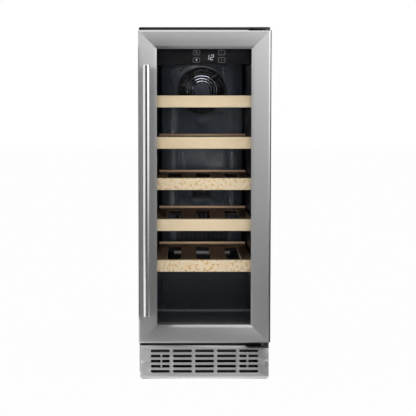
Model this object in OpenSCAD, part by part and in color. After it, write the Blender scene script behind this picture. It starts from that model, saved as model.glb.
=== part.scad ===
// Narrow under-counter wine cooler with a glass door, five sliding shelves and a compressor bay.
// Frame: +X to the right of someone facing the door, +Y to the back, +Z up.
// The origin is on the floor, under the centre of the whole object.

/* [Cabinet] */
// Width of the cabinet
cab_w = 300; // [250:1:380]
// Height from the floor to the cabinet top
cab_h = 806; // [670:1:970]
// Depth from the front face of the door to the back
cab_d = 570; // [475:1:690]
// Depth of the door and its gasket in front of the cabinet
door_zone = 50; // [46:1:60]
// Thickness of the sheet steel of the shell
sheet = 1; // [0.6:0.1:2]
// Side wall with its insulation, from the outside to the inside of the liner
wall_side = 32.5; // [28:0.5:40]
// Top wall with its insulation
wall_top = 36; // [30:1:45]
// Rear wall with its insulation
wall_back = 50; // [40:1:60]
// Width of the shell's front flange
flange = 12; // [8:1:16]
// Thickness of the liner
liner_t = 2; // [1.5:0.1:3]

/* [Base and step] */
// Height of the underside of the base pan above the floor
base_z = 10; // [9:0.5:14]
// Thickness of the base pan
pan_t = 1.5; // [1:0.1:2]
// Height of the underside of the front insulation
foam_z = 88; // [84:1:100]
// Height of the compartment floor in front of the step
floor_z = 123.5; // [118:0.5:135]
// Height of the top of the step
step_z = 230.5; // [225:0.5:260]
// Depth of the compressor step from the back
step_d = 380; // [360:1:400]
// Insulation under and in front of the step
step_foam = 33; // [28:1:36]

/* [Door] */
// Height of the underside of the door
door_z = 87.2; // [85:0.1:95]
// Gap between the top of the door and the cabinet top
door_top_gap = 10.2; // [9:0.1:14]
// Width of the black strip on the hinge side
strip_w = 3; // [3:0.5:8]
// Width of the face of the frame profile
face_w = 42; // [38:1:50]
// Thickness of the profile's steel
skin = 1.2; // [0.8:0.1:1.5]
// Depth of the profile's outer return
profile_d = 22; // [18:1:26]
// Radius of the profile's outer edge
edge_r = 4.5; // [3:0.5:6]
// Width of the sloping inner lip
lip_w = 5.5; // [4:0.5:7]
// Depth of the door without its gasket
door_t = 40; // [36:1:42]
// Thickness of each glass pane
glass_t = 4; // [3:0.5:5]
// Gap between the panes
glass_gap = 12; // [8:1:14]
// How far the panes reach behind the profile
glass_lap = 10; // [8:1:12]
// Width of the gasket
gasket_w = 12; // [9:1:13]
// Running gap between the gasket and the cabinet
gasket_gap = 0.3; // [0.2:0.1:1]

/* [Handle] */
// Diameter of the handle bar
bar_dia = 16.5; // [12:0.5:20]
// Length of the handle bar
bar_len = 560; // [300:5:600]
// Distance from the door's left edge to the bar's axis
bar_inset = 20; // [14:1:28]
// Reach of the handle in front of the door
bar_reach = 45; // [35:1:60]
// Distance from the end of the bar to the centre of its post
post_inset = 55; // [30:5:90]
// Diameter of the posts
post_dia = 11; // [8:0.5:12]
// Height of the lower end of the bar above the underside of the door
bar_rise = 69.3; // [40:0.1:80]

/* [Hinges] */
// Diameter of the hinge pins
pin_dia = 8; // [6:0.5:9]
// Distance of the pins from the cabinet's side
pin_side = 15; // [14:0.5:17]
// Depth of the pins behind the front face of the door
pin_depth = 20; // [18:1:20]
// Radial clearance of the pins in their bushes
pin_gap = 0.05; // [0.02:0.01:0.09]
// Outer diameter of the bushes
bush_dia = 14; // [12:0.5:15]
// Length of the bushes
bush_len = 25; // [15:1:40]
// Thickness of the hinge plates
plate_t = 3.2; // [2.5:0.1:4]
// Length of the hinge plates along the cabinet's width
plate_len = 50; // [40:1:70]
// Gap between the underside of the door and the bottom hinge plate
plate_gap = 8; // [6:0.5:9]
// Gap between the top of the door and the top hinge plate
top_plate_gap = 2.7; // [2:0.1:4]

/* [Shelves] */
// Height of the front trim
trim_h = 27.4; // [20:0.1:35]
// Thickness of the front trim
trim_t = 18; // [12:1:22]
// Distance from the front face of the door to the shelf fronts
shelf_d = 60; // [60:1:70]
// Gap between the trim and the liner, each side
shelf_side_gap = 2.75; // [2:0.25:5]
// Depth of the deck behind the trim
deck_d = 334; // [180:1:340]
// Thickness of the deck
deck_t = 10; // [8:0.5:14]
// Drop of the deck's top below the top of the trim
deck_drop = 5; // [3:0.5:8]
// Width of each outer board of the deck
board_out = 25; // [18:1:35]
// Width of each inner board of the deck
board_in = 37.5; // [25:0.5:45]
// Length of the slots in the deck
slot_len = 237; // [80:1:240]
// Height of the lowest trim's top above the step
low_shelf = 38.8; // [34:0.1:80]
// Distance from the underside of the top wall to the highest trim's top
high_shelf = 119.5; // [100:0.5:160]
// Height of the runners
runner_h = 8; // [5:1:12]
// Width of the runners
runner_w = 7; // [5:0.5:9]

/* [Rear duct] */
// Depth of the duct behind its panel
duct_d = 50; // [46:1:60]
// Gap between the duct panel and the liner's side
duct_side = 10; // [6:1:16]
// Diameter of the fan guard
guard_dia = 132; // [120:1:140]
// Distance from the top wall to the fan's axis
fan_drop = 100.5; // [92:0.5:130]
// Distance of the fan screws outside the guard
screw_margin = 16.7; // [14:0.1:20]
// Gap between the guard's rim and the tips of the impeller
tip_gap = 10; // [8:1:16]
// Width of the vent window
vent_w = 140; // [80:1:144]
// Height of the vent window
vent_h = 85; // [50:1:100]
// Height of the vent window above the step
vent_rise = 28; // [20:1:40]
// Spacing of the vent fins
fin_pitch = 12; // [8:0.5:16]
// Width of the sensor cover
sensor_w = 52; // [40:1:60]
// Height of the sensor cover
sensor_h = 26; // [20:1:34]

/* [Controls] */
// Height of the control fascia
fascia_h = 47.5; // [40:0.5:56]
// Thickness of the control fascia
fascia_t = 3; // [2:0.5:4]
// Depth of the control housing
housing_d = 100; // [60:1:140]

/* [Plinth and feet] */
// Height of the plinth's lower edge above the floor
plinth_z = 3; // [2:0.5:8]
// Height of the plinth
plinth_h = 75.1; // [72:0.1:77]
// Set-back of the plinth behind the front face of the door
plinth_back = 20; // [16:1:24]
// Inset of the plinth from the cabinet's side
plinth_inset = 2.5; // [1:0.5:4]
// Thickness of the plinth's sheet
plinth_t = 1.2; // [0.8:0.1:2]
// Number of slots across
slot_cols = 5; // [3:1:5]
// Number of slot rows
slot_rows = 5; // [3:1:5]
// Width of a slot in the plinth
vent_slot_w = 44; // [30:1:44]
// Height of a slot in the plinth
vent_slot_h = 6.2; // [4:0.1:7]
// Gap between slot columns
vent_slot_gap = 6.7; // [4:0.1:8]
// Vertical pitch of the slots
vent_slot_pitch = 11.9; // [9:0.1:12]
// Diameter of the feet's pads
pad_dia = 34; // [26:1:40]
// Thickness of the feet's pads
foot_h = 6; // [4:0.5:8]
// Diameter of the feet's studs
stud_dia = 8; // [6:0.5:10]
// Travel of the feet
foot_travel = 25; // [10:1:30]

/* [Hidden] */

$fn = 64;
// A cut runs this far past the faces that it opens
eps = 1;
shelf_n = 5;

black = [0.06, 0.06, 0.07];
slate = [0.16, 0.18, 0.21];
steel = [0.72, 0.72, 0.73];
beech = [0.88, 0.80, 0.66];
deck_brown = [0.42, 0.34, 0.28];
copper = [0.72, 0.45, 0.30];

// Depths are measured back from the front face of the door, which lies at this Y
front = bar_reach - (cab_d + bar_reach) / 2;
half_w = cab_w / 2;

// Cabinet and compartment
cab_front = front + door_zone;
cab_back = front + cab_d;
in_half = half_w - wall_side;
ceiling = cab_h - wall_top;
in_back = cab_back - wall_back;
step_front = cab_back - step_d;
bay_front = step_front + step_foam + liner_t;
bay_top = step_z - step_foam - liner_t;
foam_half = half_w - sheet;

// Door
door_left = -half_w;
door_right = half_w - strip_w;
door_w = door_right - door_left;
door_top = cab_h - door_top_gap;
door_h = door_top - door_z;
glass_front = front + 6;
glass_back = glass_front + 2 * glass_t + glass_gap;
pane_inset = face_w - glass_lap;
bar_x = door_left + bar_inset;
bar_r = bar_dia / 2;
bar_y = front - bar_reach + bar_r;
bar_z = door_z + bar_rise;
bar_l = min(bar_len, door_h - 2 * bar_rise + 60);
post_zs = [bar_z + post_inset, bar_z + bar_l - post_inset];

// Hinges
pin_x = half_w - pin_side;
pin_y = front + pin_depth;
pin_r = pin_dia / 2;
bush_r = bush_dia / 2;
plate_right = half_w - plinth_inset - plinth_t - 0.3;
plate_left = plate_right - plate_len;
bottom_plate_z = door_z - plate_gap - plate_t;
top_plate_z = door_top + top_plate_gap;
hinge_screw_xs = [plate_left + 10, plate_left + 24];
leg_y = cab_front - plate_t;
leg_foot_z = bottom_plate_z - 16;
beam_z = leg_foot_z - 14;

// Gasket
gasket_x = in_half + 1.5;
gasket_z0 = floor_z - 1.5;
gasket_z1 = ceiling + 1.5;

// Shelves
shelf_y = front + shelf_d;
trim_half = in_half - shelf_side_gap;
shelf_low = step_z + low_shelf;
shelf_high = ceiling - high_shelf;
shelf_pitch = (shelf_high - shelf_low) / (shelf_n - 1);
deck_half = trim_half - 0.75;
duct_front = in_back - duct_d;
// The deck stays clear of the parts that stand on the duct panel
deck_l = min(deck_d, duct_front - 20 - shelf_y - trim_t);
slot_l = min(slot_len, deck_l - 70);
board_slot = (2 * deck_half - 2 * board_out - 2 * board_in) / 3;

// Rear duct
panel_t = 2;
duct_half = in_half - duct_side;
fan_z = ceiling - fan_drop;
guard_r = guard_dia / 2;
// the four fan screws stand at the corners of a square
fan_screws = (guard_r + screw_margin) * sqrt(2);
sensor_z = step_z + vent_rise + vent_h + 36.5;
vent_z = step_z + vent_rise;
drip_hole_z = fan_z - 96;

// Compressor bay
floor_top = base_z + pan_t;
cover_y = cab_back - 5;
comp_r = 62;
comp_x = -half_w + 90;
comp_y = cab_back - 140;
comp_z = floor_top + 16.5;
comp_h = bay_top - comp_z - 36;
pipe_r = 3.5;
suction_x = comp_x - 30;
pipe_y = in_back - 24;
coil_x0 = comp_x + comp_r + 28;
coil_x1 = half_w - 12;
coil_y = comp_y - 85;
coil_d = 60;
bay_fan_y = coil_y - 45;
bay_fan_z = floor_top + 64;

// Feet
foot_x = half_w - 35;
foot_ys = [cab_front + 30, cab_back - 40];
stud_r = stud_dia / 2;
stud_gap = 0.05;
foot_gap = 0.3;

// Screws
m4_r = 2;
head_r = 4;
head_h = 2.5;
plinth_y = front + plinth_back;
plinth_half = half_w - plinth_inset;
plinth_screw_x = plinth_half - 6;
plinth_screw_z = plinth_z + 38;
cover_screw_x = half_w - 12;
cover_screw_zs = [floor_top + 14, bay_top - 12];

// ---------- shared shapes ----------

// Cylinder along +Y from y0 to y1
module y_rod(r, x, y0, y1, z) {
    translate([x, y0, z]) rotate([-90, 0, 0]) cylinder(r = r, h = y1 - y0);
}

// Box given by its low and high corners
module block(lo, hi) {
    translate(lo) cube([hi[0] - lo[0], hi[1] - lo[1], hi[2] - lo[2]]);
}

// Upright box ring: the outer rectangle less the inner one, between two depths
module ring_box(x0, x1, z0, z1, w, y0, y1) {
    difference() {
        block([x0, y0, z0], [x1, y1, z1]);
        block([x0 + w, y0 - eps, z0 + w], [x1 - w, y1 + eps, z1 - w]);
    }
}

// Screw along +Y with its head in front of y
module screw(x, y, z, length) {
    y_rod(head_r, x, y - head_h, y, z);
    y_rod(m4_r, x, y, y + length, z);
}

// Side view outline extruded across the width
module side_prism(points, half) {
    translate([-half, 0, 0]) rotate([90, 0, 90]) linear_extrude(2 * half) polygon(points);
}

// Tube along a list of points
module pipe(points, r) {
    for (i = [0 : len(points) - 2]) {
        run = points[i + 1] - points[i];
        length = norm(run);
        translate(points[i])
            rotate([0, acos(run[2] / length), atan2(run[1], run[0])])
                cylinder(r = r, h = length, $fn = 24);
        if (i > 0) translate(points[i]) sphere(r = r, $fn = 24);
    }
}

// Obround slot outline
module obround(w, h) {
    union() {
        square([w - h, h], center = true);
        for (s = [-1, 1]) translate([s * (w - h) / 2, 0]) circle(d = h, $fn = 24);
    }
}

// ---------- cabinet ----------

module outer_shell() {
    color(black) {
        difference() {
            block([-half_w, cab_front, base_z], [half_w, cab_back, cab_h]);
            block([-half_w + sheet, cab_front - eps, base_z - eps],
                  [half_w - sheet, cab_back + eps, cab_h - sheet]);
        }
        // front flanges folded in at the sides and the top
        for (s = [-1, 1])
            block([s < 0 ? -half_w + sheet : half_w - flange, cab_front, foam_z],
                  [s < 0 ? -half_w + flange : half_w - sheet, cab_front + sheet, cab_h - sheet]);
        difference() {
            block([-half_w + flange, cab_front, cab_h - flange],
                  [half_w - flange, cab_front + sheet, cab_h - sheet]);
            hinge_screw_holes();
        }
    }
}

module back_sheet() {
    color(slate)
        block([-foam_half, cab_back - sheet, bay_top], [foam_half, cab_back, cab_h - sheet]);
}

function cavity_outline(g) = [
    [cab_front, floor_z - g], [step_front + g, floor_z - g], [step_front + g, step_z - g],
    [in_back + g, step_z - g], [in_back + g, ceiling + g], [cab_front, ceiling + g]];

module foam_insulation() {
    color([0.93, 0.88, 0.70])
        difference() {
            side_prism([[cab_front + liner_t, foam_z], [bay_front, foam_z], [bay_front, bay_top],
                        [cab_back - sheet, bay_top], [cab_back - sheet, cab_h - sheet],
                        [cab_front + liner_t, cab_h - sheet]], foam_half);
            side_prism(cavity_outline(liner_t), in_half + liner_t);
            pipe_holes();
            hinge_screw_holes();
        }
}

module pipe_holes() {
    for (x = [suction_x, capillary_x])
        translate([x, pipe_y, bay_top - eps])
            cylinder(r = pipe_r + 3, h = step_z - bay_top + 2 * eps);
}

// Two screw shanks of each hinge leg
module hinge_screw_holes() {
    for (x = hinge_screw_xs) {
        y_rod(m4_r, x, leg_y - eps, cab_front + 12, top_plate_z - 9);
        y_rod(m4_r, x, leg_y - eps, cab_front + 12, bottom_plate_z - 8);
    }
}

module inner_liner() {
    color(black) {
        difference() {
            side_prism(cavity_outline(liner_t), in_half + liner_t);
            side_prism([for (p = cavity_outline(0)) [p[0] == cab_front ? cab_front - eps : p[0], p[1]]],
                       in_half);
            pipe_holes();
        }
        difference() {
            block([-half_w + flange, cab_front, foam_z],
                  [half_w - flange, cab_front + liner_t, cab_h - flange]);
            block([-in_half - liner_t, cab_front - eps, floor_z - liner_t],
                  [in_half + liner_t, cab_front + liner_t + eps, ceiling + liner_t]);
            hinge_screw_holes();
        }
    }
}

module base_pan() {
    side = half_w - sheet;
    color(black)
        difference() {
            union() {
                block([-side, cab_front, base_z], [side, cover_y, floor_top]);
                // side flanges, with uprights at the back for the rear cover
                for (s = [-1, 1]) {
                    block([s < 0 ? -side : side - sheet, cab_front, floor_top],
                          [s < 0 ? -side + sheet : side, cover_y, leg_foot_z]);
                    block([s < 0 ? -side : side - 18, cover_y - 2, floor_top],
                          [s < 0 ? -side + 18 : side, cover_y, bay_top]);
                    // ears that carry the plinth
                    block([s < 0 ? -plinth_half + plinth_t : plinth_half - 13, plinth_y + plinth_t,
                           base_z],
                          [s < 0 ? -plinth_half + 13 : plinth_half - plinth_t, cab_front,
                           leg_foot_z]);
                }
                // front beam under the insulation
                block([-side, cab_front, beam_z], [side, cab_front + 2, foam_z]);
                for (x = [-foot_x, foot_x], y = foot_ys)
                    translate([x, y, base_z]) cylinder(r = stud_r + 4, h = 12);
            }
            for (x = [-foot_x, foot_x], y = foot_ys)
                translate([x, y, base_z - eps])
                    cylinder(r = stud_r + stud_gap, h = 12 + 2 * eps);
            for (s = [-1, 1]) {
                y_rod(m4_r, s * plinth_screw_x, plinth_y, plinth_y + 16, plinth_screw_z);
                for (z = cover_screw_zs)
                    y_rod(m4_r, s * cover_screw_x, cover_y - 10, cover_y + eps, z);
            }
            hinge_screw_holes();
        }
}

module rear_cover() {
    side = foam_half;
    slot_count = floor((2 * side - 60) / 14);
    color(black)
        difference() {
            block([-side, cover_y, base_z], [side, cover_y + sheet, bay_top]);
            for (i = [0 : slot_count - 1], z = [floor_top + 24, floor_top + 80])
                translate([(i - (slot_count - 1) / 2) * 14, cover_y + sheet / 2, z + 20])
                    rotate([90, 0, 0])
                        linear_extrude(sheet + 2 * eps, center = true)
                            rotate(90) obround(40, 5);
            for (s = [-1, 1], z = cover_screw_zs)
                y_rod(m4_r, s * cover_screw_x, cover_y - eps, cover_y + sheet + eps, z);
            block([inlet_x - 14, cover_y - eps, inlet_z - 11],
                  [inlet_x + 14, cover_y + sheet + eps, inlet_z + 11]);
        }
}

// ---------- rear duct ----------

module rear_duct_panel() {
    fin_count = floor((vent_w / 2 - 2) / fin_pitch);
    color(slate)
        difference() {
            union() {
                difference() {
                    block([-duct_half, duct_front, step_z], [duct_half, duct_front + panel_t, ceiling]);
                    block([-vent_w / 2, duct_front - eps, vent_z],
                          [vent_w / 2, duct_front + panel_t + eps, vent_z + vent_h]);
                }
                for (i = [-fin_count : fin_count])
                    block([i * fin_pitch - 1, duct_front, vent_z],
                          [i * fin_pitch + 1, duct_front + 8, vent_z + vent_h]);
                for (s = [-1, 1])
                    block([s < 0 ? -duct_half : duct_half - panel_t, duct_front + panel_t, step_z],
                          [s < 0 ? -duct_half + panel_t : duct_half, in_back, ceiling]);
            }
            y_rod(guard_r, 0, duct_front - eps, duct_front + panel_t + eps, fan_z);
            y_rod(2.5, 0, duct_front - eps, duct_front + panel_t + eps, drip_hole_z);
            fan_screw_holes();
            block([-sensor_w / 2 + 6, duct_front - eps, sensor_z + 5],
                  [sensor_w / 2 - 6, duct_front + panel_t + eps, sensor_z + sensor_h - 5]);
        }
}

module fan_screw_holes() {
    for (x = [-1, 1], z = [-1, 1])
        y_rod(m4_r, x * fan_screws / 2, duct_front - eps, duct_front + 12, fan_z + z * fan_screws / 2);
}

// Flat ring outline between two radii
module ring(outer, inner) {
    difference() {
        circle(r = outer);
        circle(r = inner);
    }
}

module fan_guard() {
    hub = 22.5;
    color(black)
        translate([0, duct_front + panel_t, fan_z]) rotate([90, 0, 0]) {
            linear_extrude(3.5) ring(guard_r, guard_r - 4);
            linear_extrude(2.5) {
                for (r = [guard_r - 13, guard_r - 22, guard_r - 31]) ring(r, r - 1.6);
                ring(hub, 16.5);
                ring(15, 9);
                circle(r = 8);
            }
            // spokes run past the hub on one side, so that they meet it as tangents
            linear_extrude(2.5)
                intersection() {
                    circle(r = guard_r - 4);
                    for (a = [25, 115, 205, 295])
                        rotate(a) translate([0, 20]) square([guard_r, 2.4]);
                }
            linear_extrude(1.5) circle(r = hub - 1);
        }
}

// Motor holder: a square plate, a shroud ring and a motor on three arms, opening towards -Y.
// The shaft's bore is open towards -Y.
module fan_holder(plate, ring_r, shaft_r, screw_pitch) {
    rotate([-90, 0, 0]) {
        difference() {
            union() {
                translate([-plate / 2, -plate / 2, 0]) cube([plate, plate, 3]);
                linear_extrude(35) ring(ring_r + 2.5, ring_r);
            }
            translate([0, 0, -eps]) cylinder(r = ring_r, h = 35 + 2 * eps);
            for (x = [-1, 1], z = [-1, 1])
                translate([x * screw_pitch / 2, z * screw_pitch / 2, -eps])
                    cylinder(r = m4_r, h = 3 + 2 * eps);
        }
        difference() {
            union() {
                translate([0, 0, 27]) cylinder(r = 20, h = 14);
                for (a = [0, 120, 240])
                    rotate(a) translate([18, -3, 31]) cube([ring_r - 17.5, 6, 4]);
            }
            translate([0, 0, 27 - eps]) cylinder(r = shaft_r, h = 11 + eps);
        }
    }
}

// Axial impeller with its shaft, turning about Y
module rotor(tip_r, blades) {
    hub = 19;
    rotate([-90, 0, 0]) {
        cylinder(r = hub, h = 17);
        translate([0, 0, 17]) cylinder(r = 2, h = 13);
        for (i = [0 : blades - 1])
            rotate(i * 360 / blades)
                intersection() {
                    translate([hub - 1, 0, 8.5]) rotate([32, 0, 0]) translate([0, -14, -0.8])
                        cube([tip_r - hub + 4, 28, 1.6]);
                    translate([0, 0, 1]) cylinder(r = tip_r, h = 15);
                }
    }
}

fan_plate = fan_screws + 13;

module fan_frame() {
    color(black)
        translate([0, duct_front + panel_t, fan_z])
            fan_holder(fan_plate, guard_r - 5, 2 + pin_gap, fan_screws);
}

module evaporator_fan() {
    color([0.25, 0.26, 0.28])
        translate([0, duct_front + panel_t + 7, fan_z]) rotor(guard_r - tip_gap, 7);
}

// Fin and tube block between two end plates
module fin_block(x0, x1, y0, y1, z0, z1, fins, rows, columns, tube_r) {
    step_x = (x1 - x0 - 1.5) / (fins + 1);
    pitch_y = (y1 - y0) / columns;
    pitch_z = (z1 - z0) / rows;
    for (i = [0 : fins + 1])
        block([x0 + i * step_x, y0, z0],
              [x0 + i * step_x + (i == 0 || i == fins + 1 ? 1.5 : 0.8), y1, z1]);
    for (c = [0 : columns - 1], r = [0 : rows - 1])
        translate([x0, y0 + (c + 0.5) * pitch_y, z0 + (r + 0.5) * pitch_z])
            rotate([0, 90, 0]) cylinder(r = tube_r, h = x1 - x0, $fn = 24);
}

evap_half = duct_half - 22;
evap_z0 = sensor_z + sensor_h + 14;
evap_z1 = min(evap_z0 + 140, fan_z - fan_plate / 2 - 20);

module evaporator() {
    color("silver")
        fin_block(-evap_half, evap_half, duct_front + panel_t + 6, in_back, evap_z0, evap_z1,
                  12, 4, 2, 4);
}

module sensor_cover() {
    grille_n = 6;
    color(black)
        difference() {
            block([-sensor_w / 2, duct_front - 5, sensor_z],
                  [sensor_w / 2, duct_front, sensor_z + sensor_h]);
            block([-sensor_w / 2 + 2, duct_front - 3, sensor_z + 2],
                  [sensor_w / 2 - 2, duct_front + eps, sensor_z + sensor_h - 2]);
            for (i = [0 : grille_n - 1])
                block([-sensor_w / 2 + 8 + i * (sensor_w - 16) / grille_n, duct_front - 5 - eps,
                       sensor_z + 4],
                      [-sensor_w / 2 + 8 + (i + 0.6) * (sensor_w - 16) / grille_n, duct_front,
                       sensor_z + 12]);
        }
}

module drip_channel() {
    w = min(151, 2 * duct_half - 20);
    color([0.82, 0.82, 0.80])
        difference() {
            block([-w / 2, duct_front - 14, step_z], [w / 2, duct_front, step_z + 6.5]);
            block([-w / 2 + 2, duct_front - 12, step_z + 2],
                  [w / 2 - 2, duct_front - 2, step_z + 6.5 + eps]);
        }
}

// ---------- controls ----------

fascia_z = ceiling - fascia_h;
fascia_y = front + shelf_d;
housing_y = fascia_y + fascia_t;
housing_half = in_half - 4;

// Keys left and right of the display, as [x, z] from the display's centre
key_w = 17;
key_h = 11;
key_places = [for (x = [-30.2, 27.6], z = [-6, 10.8]) [x, z]];
display_x = 12;
display_z = ceiling - 32.2;

module control_housing() {
    color(black)
        difference() {
            block([-housing_half, housing_y, fascia_z + 2], [housing_half, housing_y + housing_d, ceiling]);
            block([-housing_half + 2, housing_y - eps, fascia_z + 4],
                  [housing_half - 2, housing_y + housing_d - 2, ceiling - 2]);
        }
}

module control_fascia() {
    color(black)
        difference() {
            block([-in_half + 0.5, fascia_y, fascia_z], [in_half - 0.5, housing_y, ceiling]);
            // shallow window of the display
            block([display_x - 14, fascia_y - eps, display_z - 9],
                  [display_x + 14, fascia_y + 0.5, display_z + 9]);
            // shallow outlines of the touch keys
            for (p = key_places)
                ring_box(display_x + p[0] - key_w / 2, display_x + p[0] + key_w / 2,
                         display_z + p[1] - key_h / 2, display_z + p[1] + key_h / 2,
                         0.6, fascia_y - eps, fascia_y + 0.3);
        }
}

module control_board() {
    board_y = housing_y + 6;
    color([0.10, 0.32, 0.20]) {
        block([-62, board_y, fascia_z + 9], [62, board_y + 1.6, fascia_z + 37]);
        for (x = [-57, 57], z = [fascia_z + 13, fascia_z + 33]) y_rod(2.5, x, housing_y, board_y, z);
        block([display_x - 13, housing_y, display_z - 7], [display_x + 13, board_y, display_z + 7]);
        block([-40, board_y + 1.6, fascia_z + 12], [-10, board_y + 14, fascia_z + 34]);
    }
}

module led_lamp() {
    color([0.9, 0.95, 1.0])
        block([-50, housing_y + 36, fascia_z - 1], [50, housing_y + 48, fascia_z + 2]);
}

// ---------- shelves ----------

// Height of the top of a shelf's trim; shelf 1 is the highest
function shelf_z(i) = shelf_high - (i - 1) * shelf_pitch;

module shelf_trim(i) {
    color(beech)
        block([-trim_half, shelf_y, shelf_z(i) - trim_h], [trim_half, shelf_y + trim_t, shelf_z(i)]);
}

module shelf_deck(i) {
    top = shelf_z(i) - deck_drop;
    y0 = shelf_y + trim_t;
    color(deck_brown) {
        difference() {
            block([-deck_half, y0, top - deck_t], [deck_half, y0 + deck_l, top]);
            for (k = [0 : 2]) {
                x = -deck_half + board_out + k * (board_slot + board_in);
                block([x, y0 + 18, top - deck_t - eps], [x + board_slot, y0 + 18 + slot_l, top + eps]);
            }
        }
        // stop rail for the bottles
        block([-deck_half, y0 + deck_l - 8, top], [deck_half, y0 + deck_l, top + deck_drop]);
    }
}

module shelf_runners(side) {
    color(black)
        for (i = [1 : shelf_n]) {
            z = shelf_z(i) - deck_drop - deck_t - 0.3;
            block([side < 0 ? -in_half : in_half - runner_w, shelf_y + trim_t + 6, z - runner_h],
                  [side < 0 ? -in_half + runner_w : in_half, duct_front - 4, z]);
        }
}

// ---------- door ----------

// Outline of the frame profile: across the face from the outer edge, and back in depth
function profile_outline() = concat(
    [[0, profile_d]],
    [for (k = [0 : 6]) [edge_r * (1 - cos(k * 15)), edge_r * (1 - sin(k * 15))]],
    [[face_w - lip_w, 0], [face_w, 4], [face_w, 6], [face_w - skin, 6], [face_w - skin, 4.6],
     [face_w - lip_w - 0.4, skin]],
    [for (k = [6 : -1 : 0]) [edge_r - (edge_r - skin) * cos(k * 15),
                             edge_r - (edge_r - skin) * sin(k * 15)]],
    [[skin, profile_d]]);

// Profile along +X from 0, face towards -Y, inner side towards +Z, mitred at both ends
module profile(length) {
    intersection() {
        // the outline's first coordinate runs up and its second runs back
        rotate([90, 0, 90])
            linear_extrude(length) polygon([for (p = profile_outline()) [p[1], p[0]]]);
        translate([0, profile_d + eps, 0]) rotate([90, 0, 0])
            linear_extrude(profile_d + 2 * eps)
                polygon([[0, 0], [length, 0], [length - face_w - eps, face_w + eps],
                         [face_w + eps, face_w + eps]]);
    }
}

module bush_holes() {
    for (z = [door_z - eps, door_top - bush_len])
        translate([pin_x, pin_y, z]) cylinder(r = bush_r, h = bush_len + eps);
}

module door_profile_bottom() {
    color(steel)
        difference() {
            translate([door_left, front, door_z]) profile(door_w);
            bush_holes();
        }
}

module door_profile_top() {
    color(steel)
        difference() {
            translate([door_left, front, door_top]) mirror([0, 0, 1]) profile(door_w);
            bush_holes();
        }
}

module door_profile_left() {
    color(steel)
        difference() {
            translate([door_left, front, door_z]) mirror([1, 0, 0]) rotate([0, -90, 0]) profile(door_h);
            for (z = post_zs) y_rod(2.5, bar_x, front - eps, front + skin + eps, z);
        }
}

module door_profile_right() {
    color(steel)
        translate([door_right, front, door_z]) rotate([0, -90, 0]) profile(door_h);
}

module pane(y, t) {
    block([door_left + pane_inset, y, door_z + pane_inset],
          [door_right - pane_inset, y + t, door_top - pane_inset]);
}

module outer_glass() {
    color([0.55, 0.60, 0.65, 0.35]) pane(glass_front, glass_t);
}

module inner_glass() {
    color([0.55, 0.60, 0.65, 0.35]) pane(glass_front + glass_t + glass_gap, glass_t);
}

module glass_spacer() {
    color(black)
        ring_box(door_left + pane_inset, door_right - pane_inset, door_z + pane_inset,
                 door_top - pane_inset, 8, glass_front + glass_t, glass_front + glass_t + glass_gap);
}

module door_liner() {
    color(black)
        difference() {
            union() {
                block([door_left + skin, front + 5, door_z + skin],
                      [door_right - skin, front + profile_d, door_top - skin]);
                block([door_left, front + profile_d, door_z], [door_right, front + door_t, door_top]);
                // edge strip on the hinge side
                block([door_right, front + 10, door_z], [half_w, front + door_t, door_top]);
            }
            // pocket of the glazing and the opening behind it
            block([door_left + pane_inset, front, door_z + pane_inset],
                  [door_right - pane_inset, glass_back, door_top - pane_inset]);
            block([door_left + face_w - 2, front, door_z + face_w - 2],
                  [door_right - face_w + 2, front + door_t + eps, door_top - face_w + 2]);
            bush_holes();
            for (z = post_zs) y_rod(6, bar_x, front, front + 16, z);
        }
}

module door_gasket() {
    color([0.12, 0.12, 0.13])
        ring_box(-gasket_x - gasket_w, gasket_x + gasket_w, gasket_z0 - gasket_w, gasket_z1 + gasket_w,
                 gasket_w, front + door_t, cab_front - gasket_gap);
}

module handle_bar() {
    chamfer = 1;
    color(steel)
        translate([bar_x, bar_y, bar_z])
            rotate_extrude()
                polygon([[0, 0], [bar_r - chamfer, 0], [bar_r, chamfer], [bar_r, bar_l - chamfer],
                         [bar_r - chamfer, bar_l], [0, bar_l], [0, bar_l - 2], [bar_r - 1.5, bar_l - 2],
                         [bar_r - 1.5, 2], [0, 2]]);
}

module handle_posts() {
    color(steel)
        for (z = post_zs)
            difference() {
                y_rod(post_dia / 2, bar_x, bar_y, front, z);
                translate([bar_x, bar_y, z - 20]) cylinder(r = bar_r, h = 40);
                y_rod(2.5, bar_x, front - 14, front + eps, z);
            }
}

module handle_screws() {
    color("silver")
        for (z = post_zs) {
            y_rod(2.5, bar_x, front - 14, front + skin, z);
            y_rod(5, bar_x, front + skin, front + skin + 3, z);
        }
}

module hinge_bushes() {
    color([0.85, 0.85, 0.83])
        for (z = [door_z, door_top - bush_len])
            translate([pin_x, pin_y, z])
                difference() {
                    cylinder(r = bush_r, h = bush_len);
                    translate([0, 0, -eps]) cylinder(r = pin_r + pin_gap, h = bush_len + 2 * eps);
                }
}

// ---------- hinges ----------

// Plate that reaches forward from the cabinet to the pin, with a rounded free end
module hinge_tongue(z) {
    translate([0, 0, z])
        linear_extrude(plate_t)
            union() {
                translate([plate_left + 8, front + 1]) square([plate_len - 8, door_zone - 1]);
                translate([plate_left, front + 9]) square([plate_len, door_zone - 9]);
                translate([plate_left + 8, front + 9]) circle(r = 8);
            }
}

module bottom_hinge_plate() {
    color(black)
        difference() {
            union() {
                hinge_tongue(bottom_plate_z);
                block([plate_left, leg_y, leg_foot_z], [plate_right, cab_front, bottom_plate_z]);
                translate([pin_x, pin_y, bottom_plate_z + plate_t]) {
                    cylinder(r = pin_r, h = plate_gap + bush_len - 4);
                    cylinder(r = bush_r, h = plate_gap - 0.3);
                }
            }
            hinge_screw_holes();
        }
}

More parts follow.
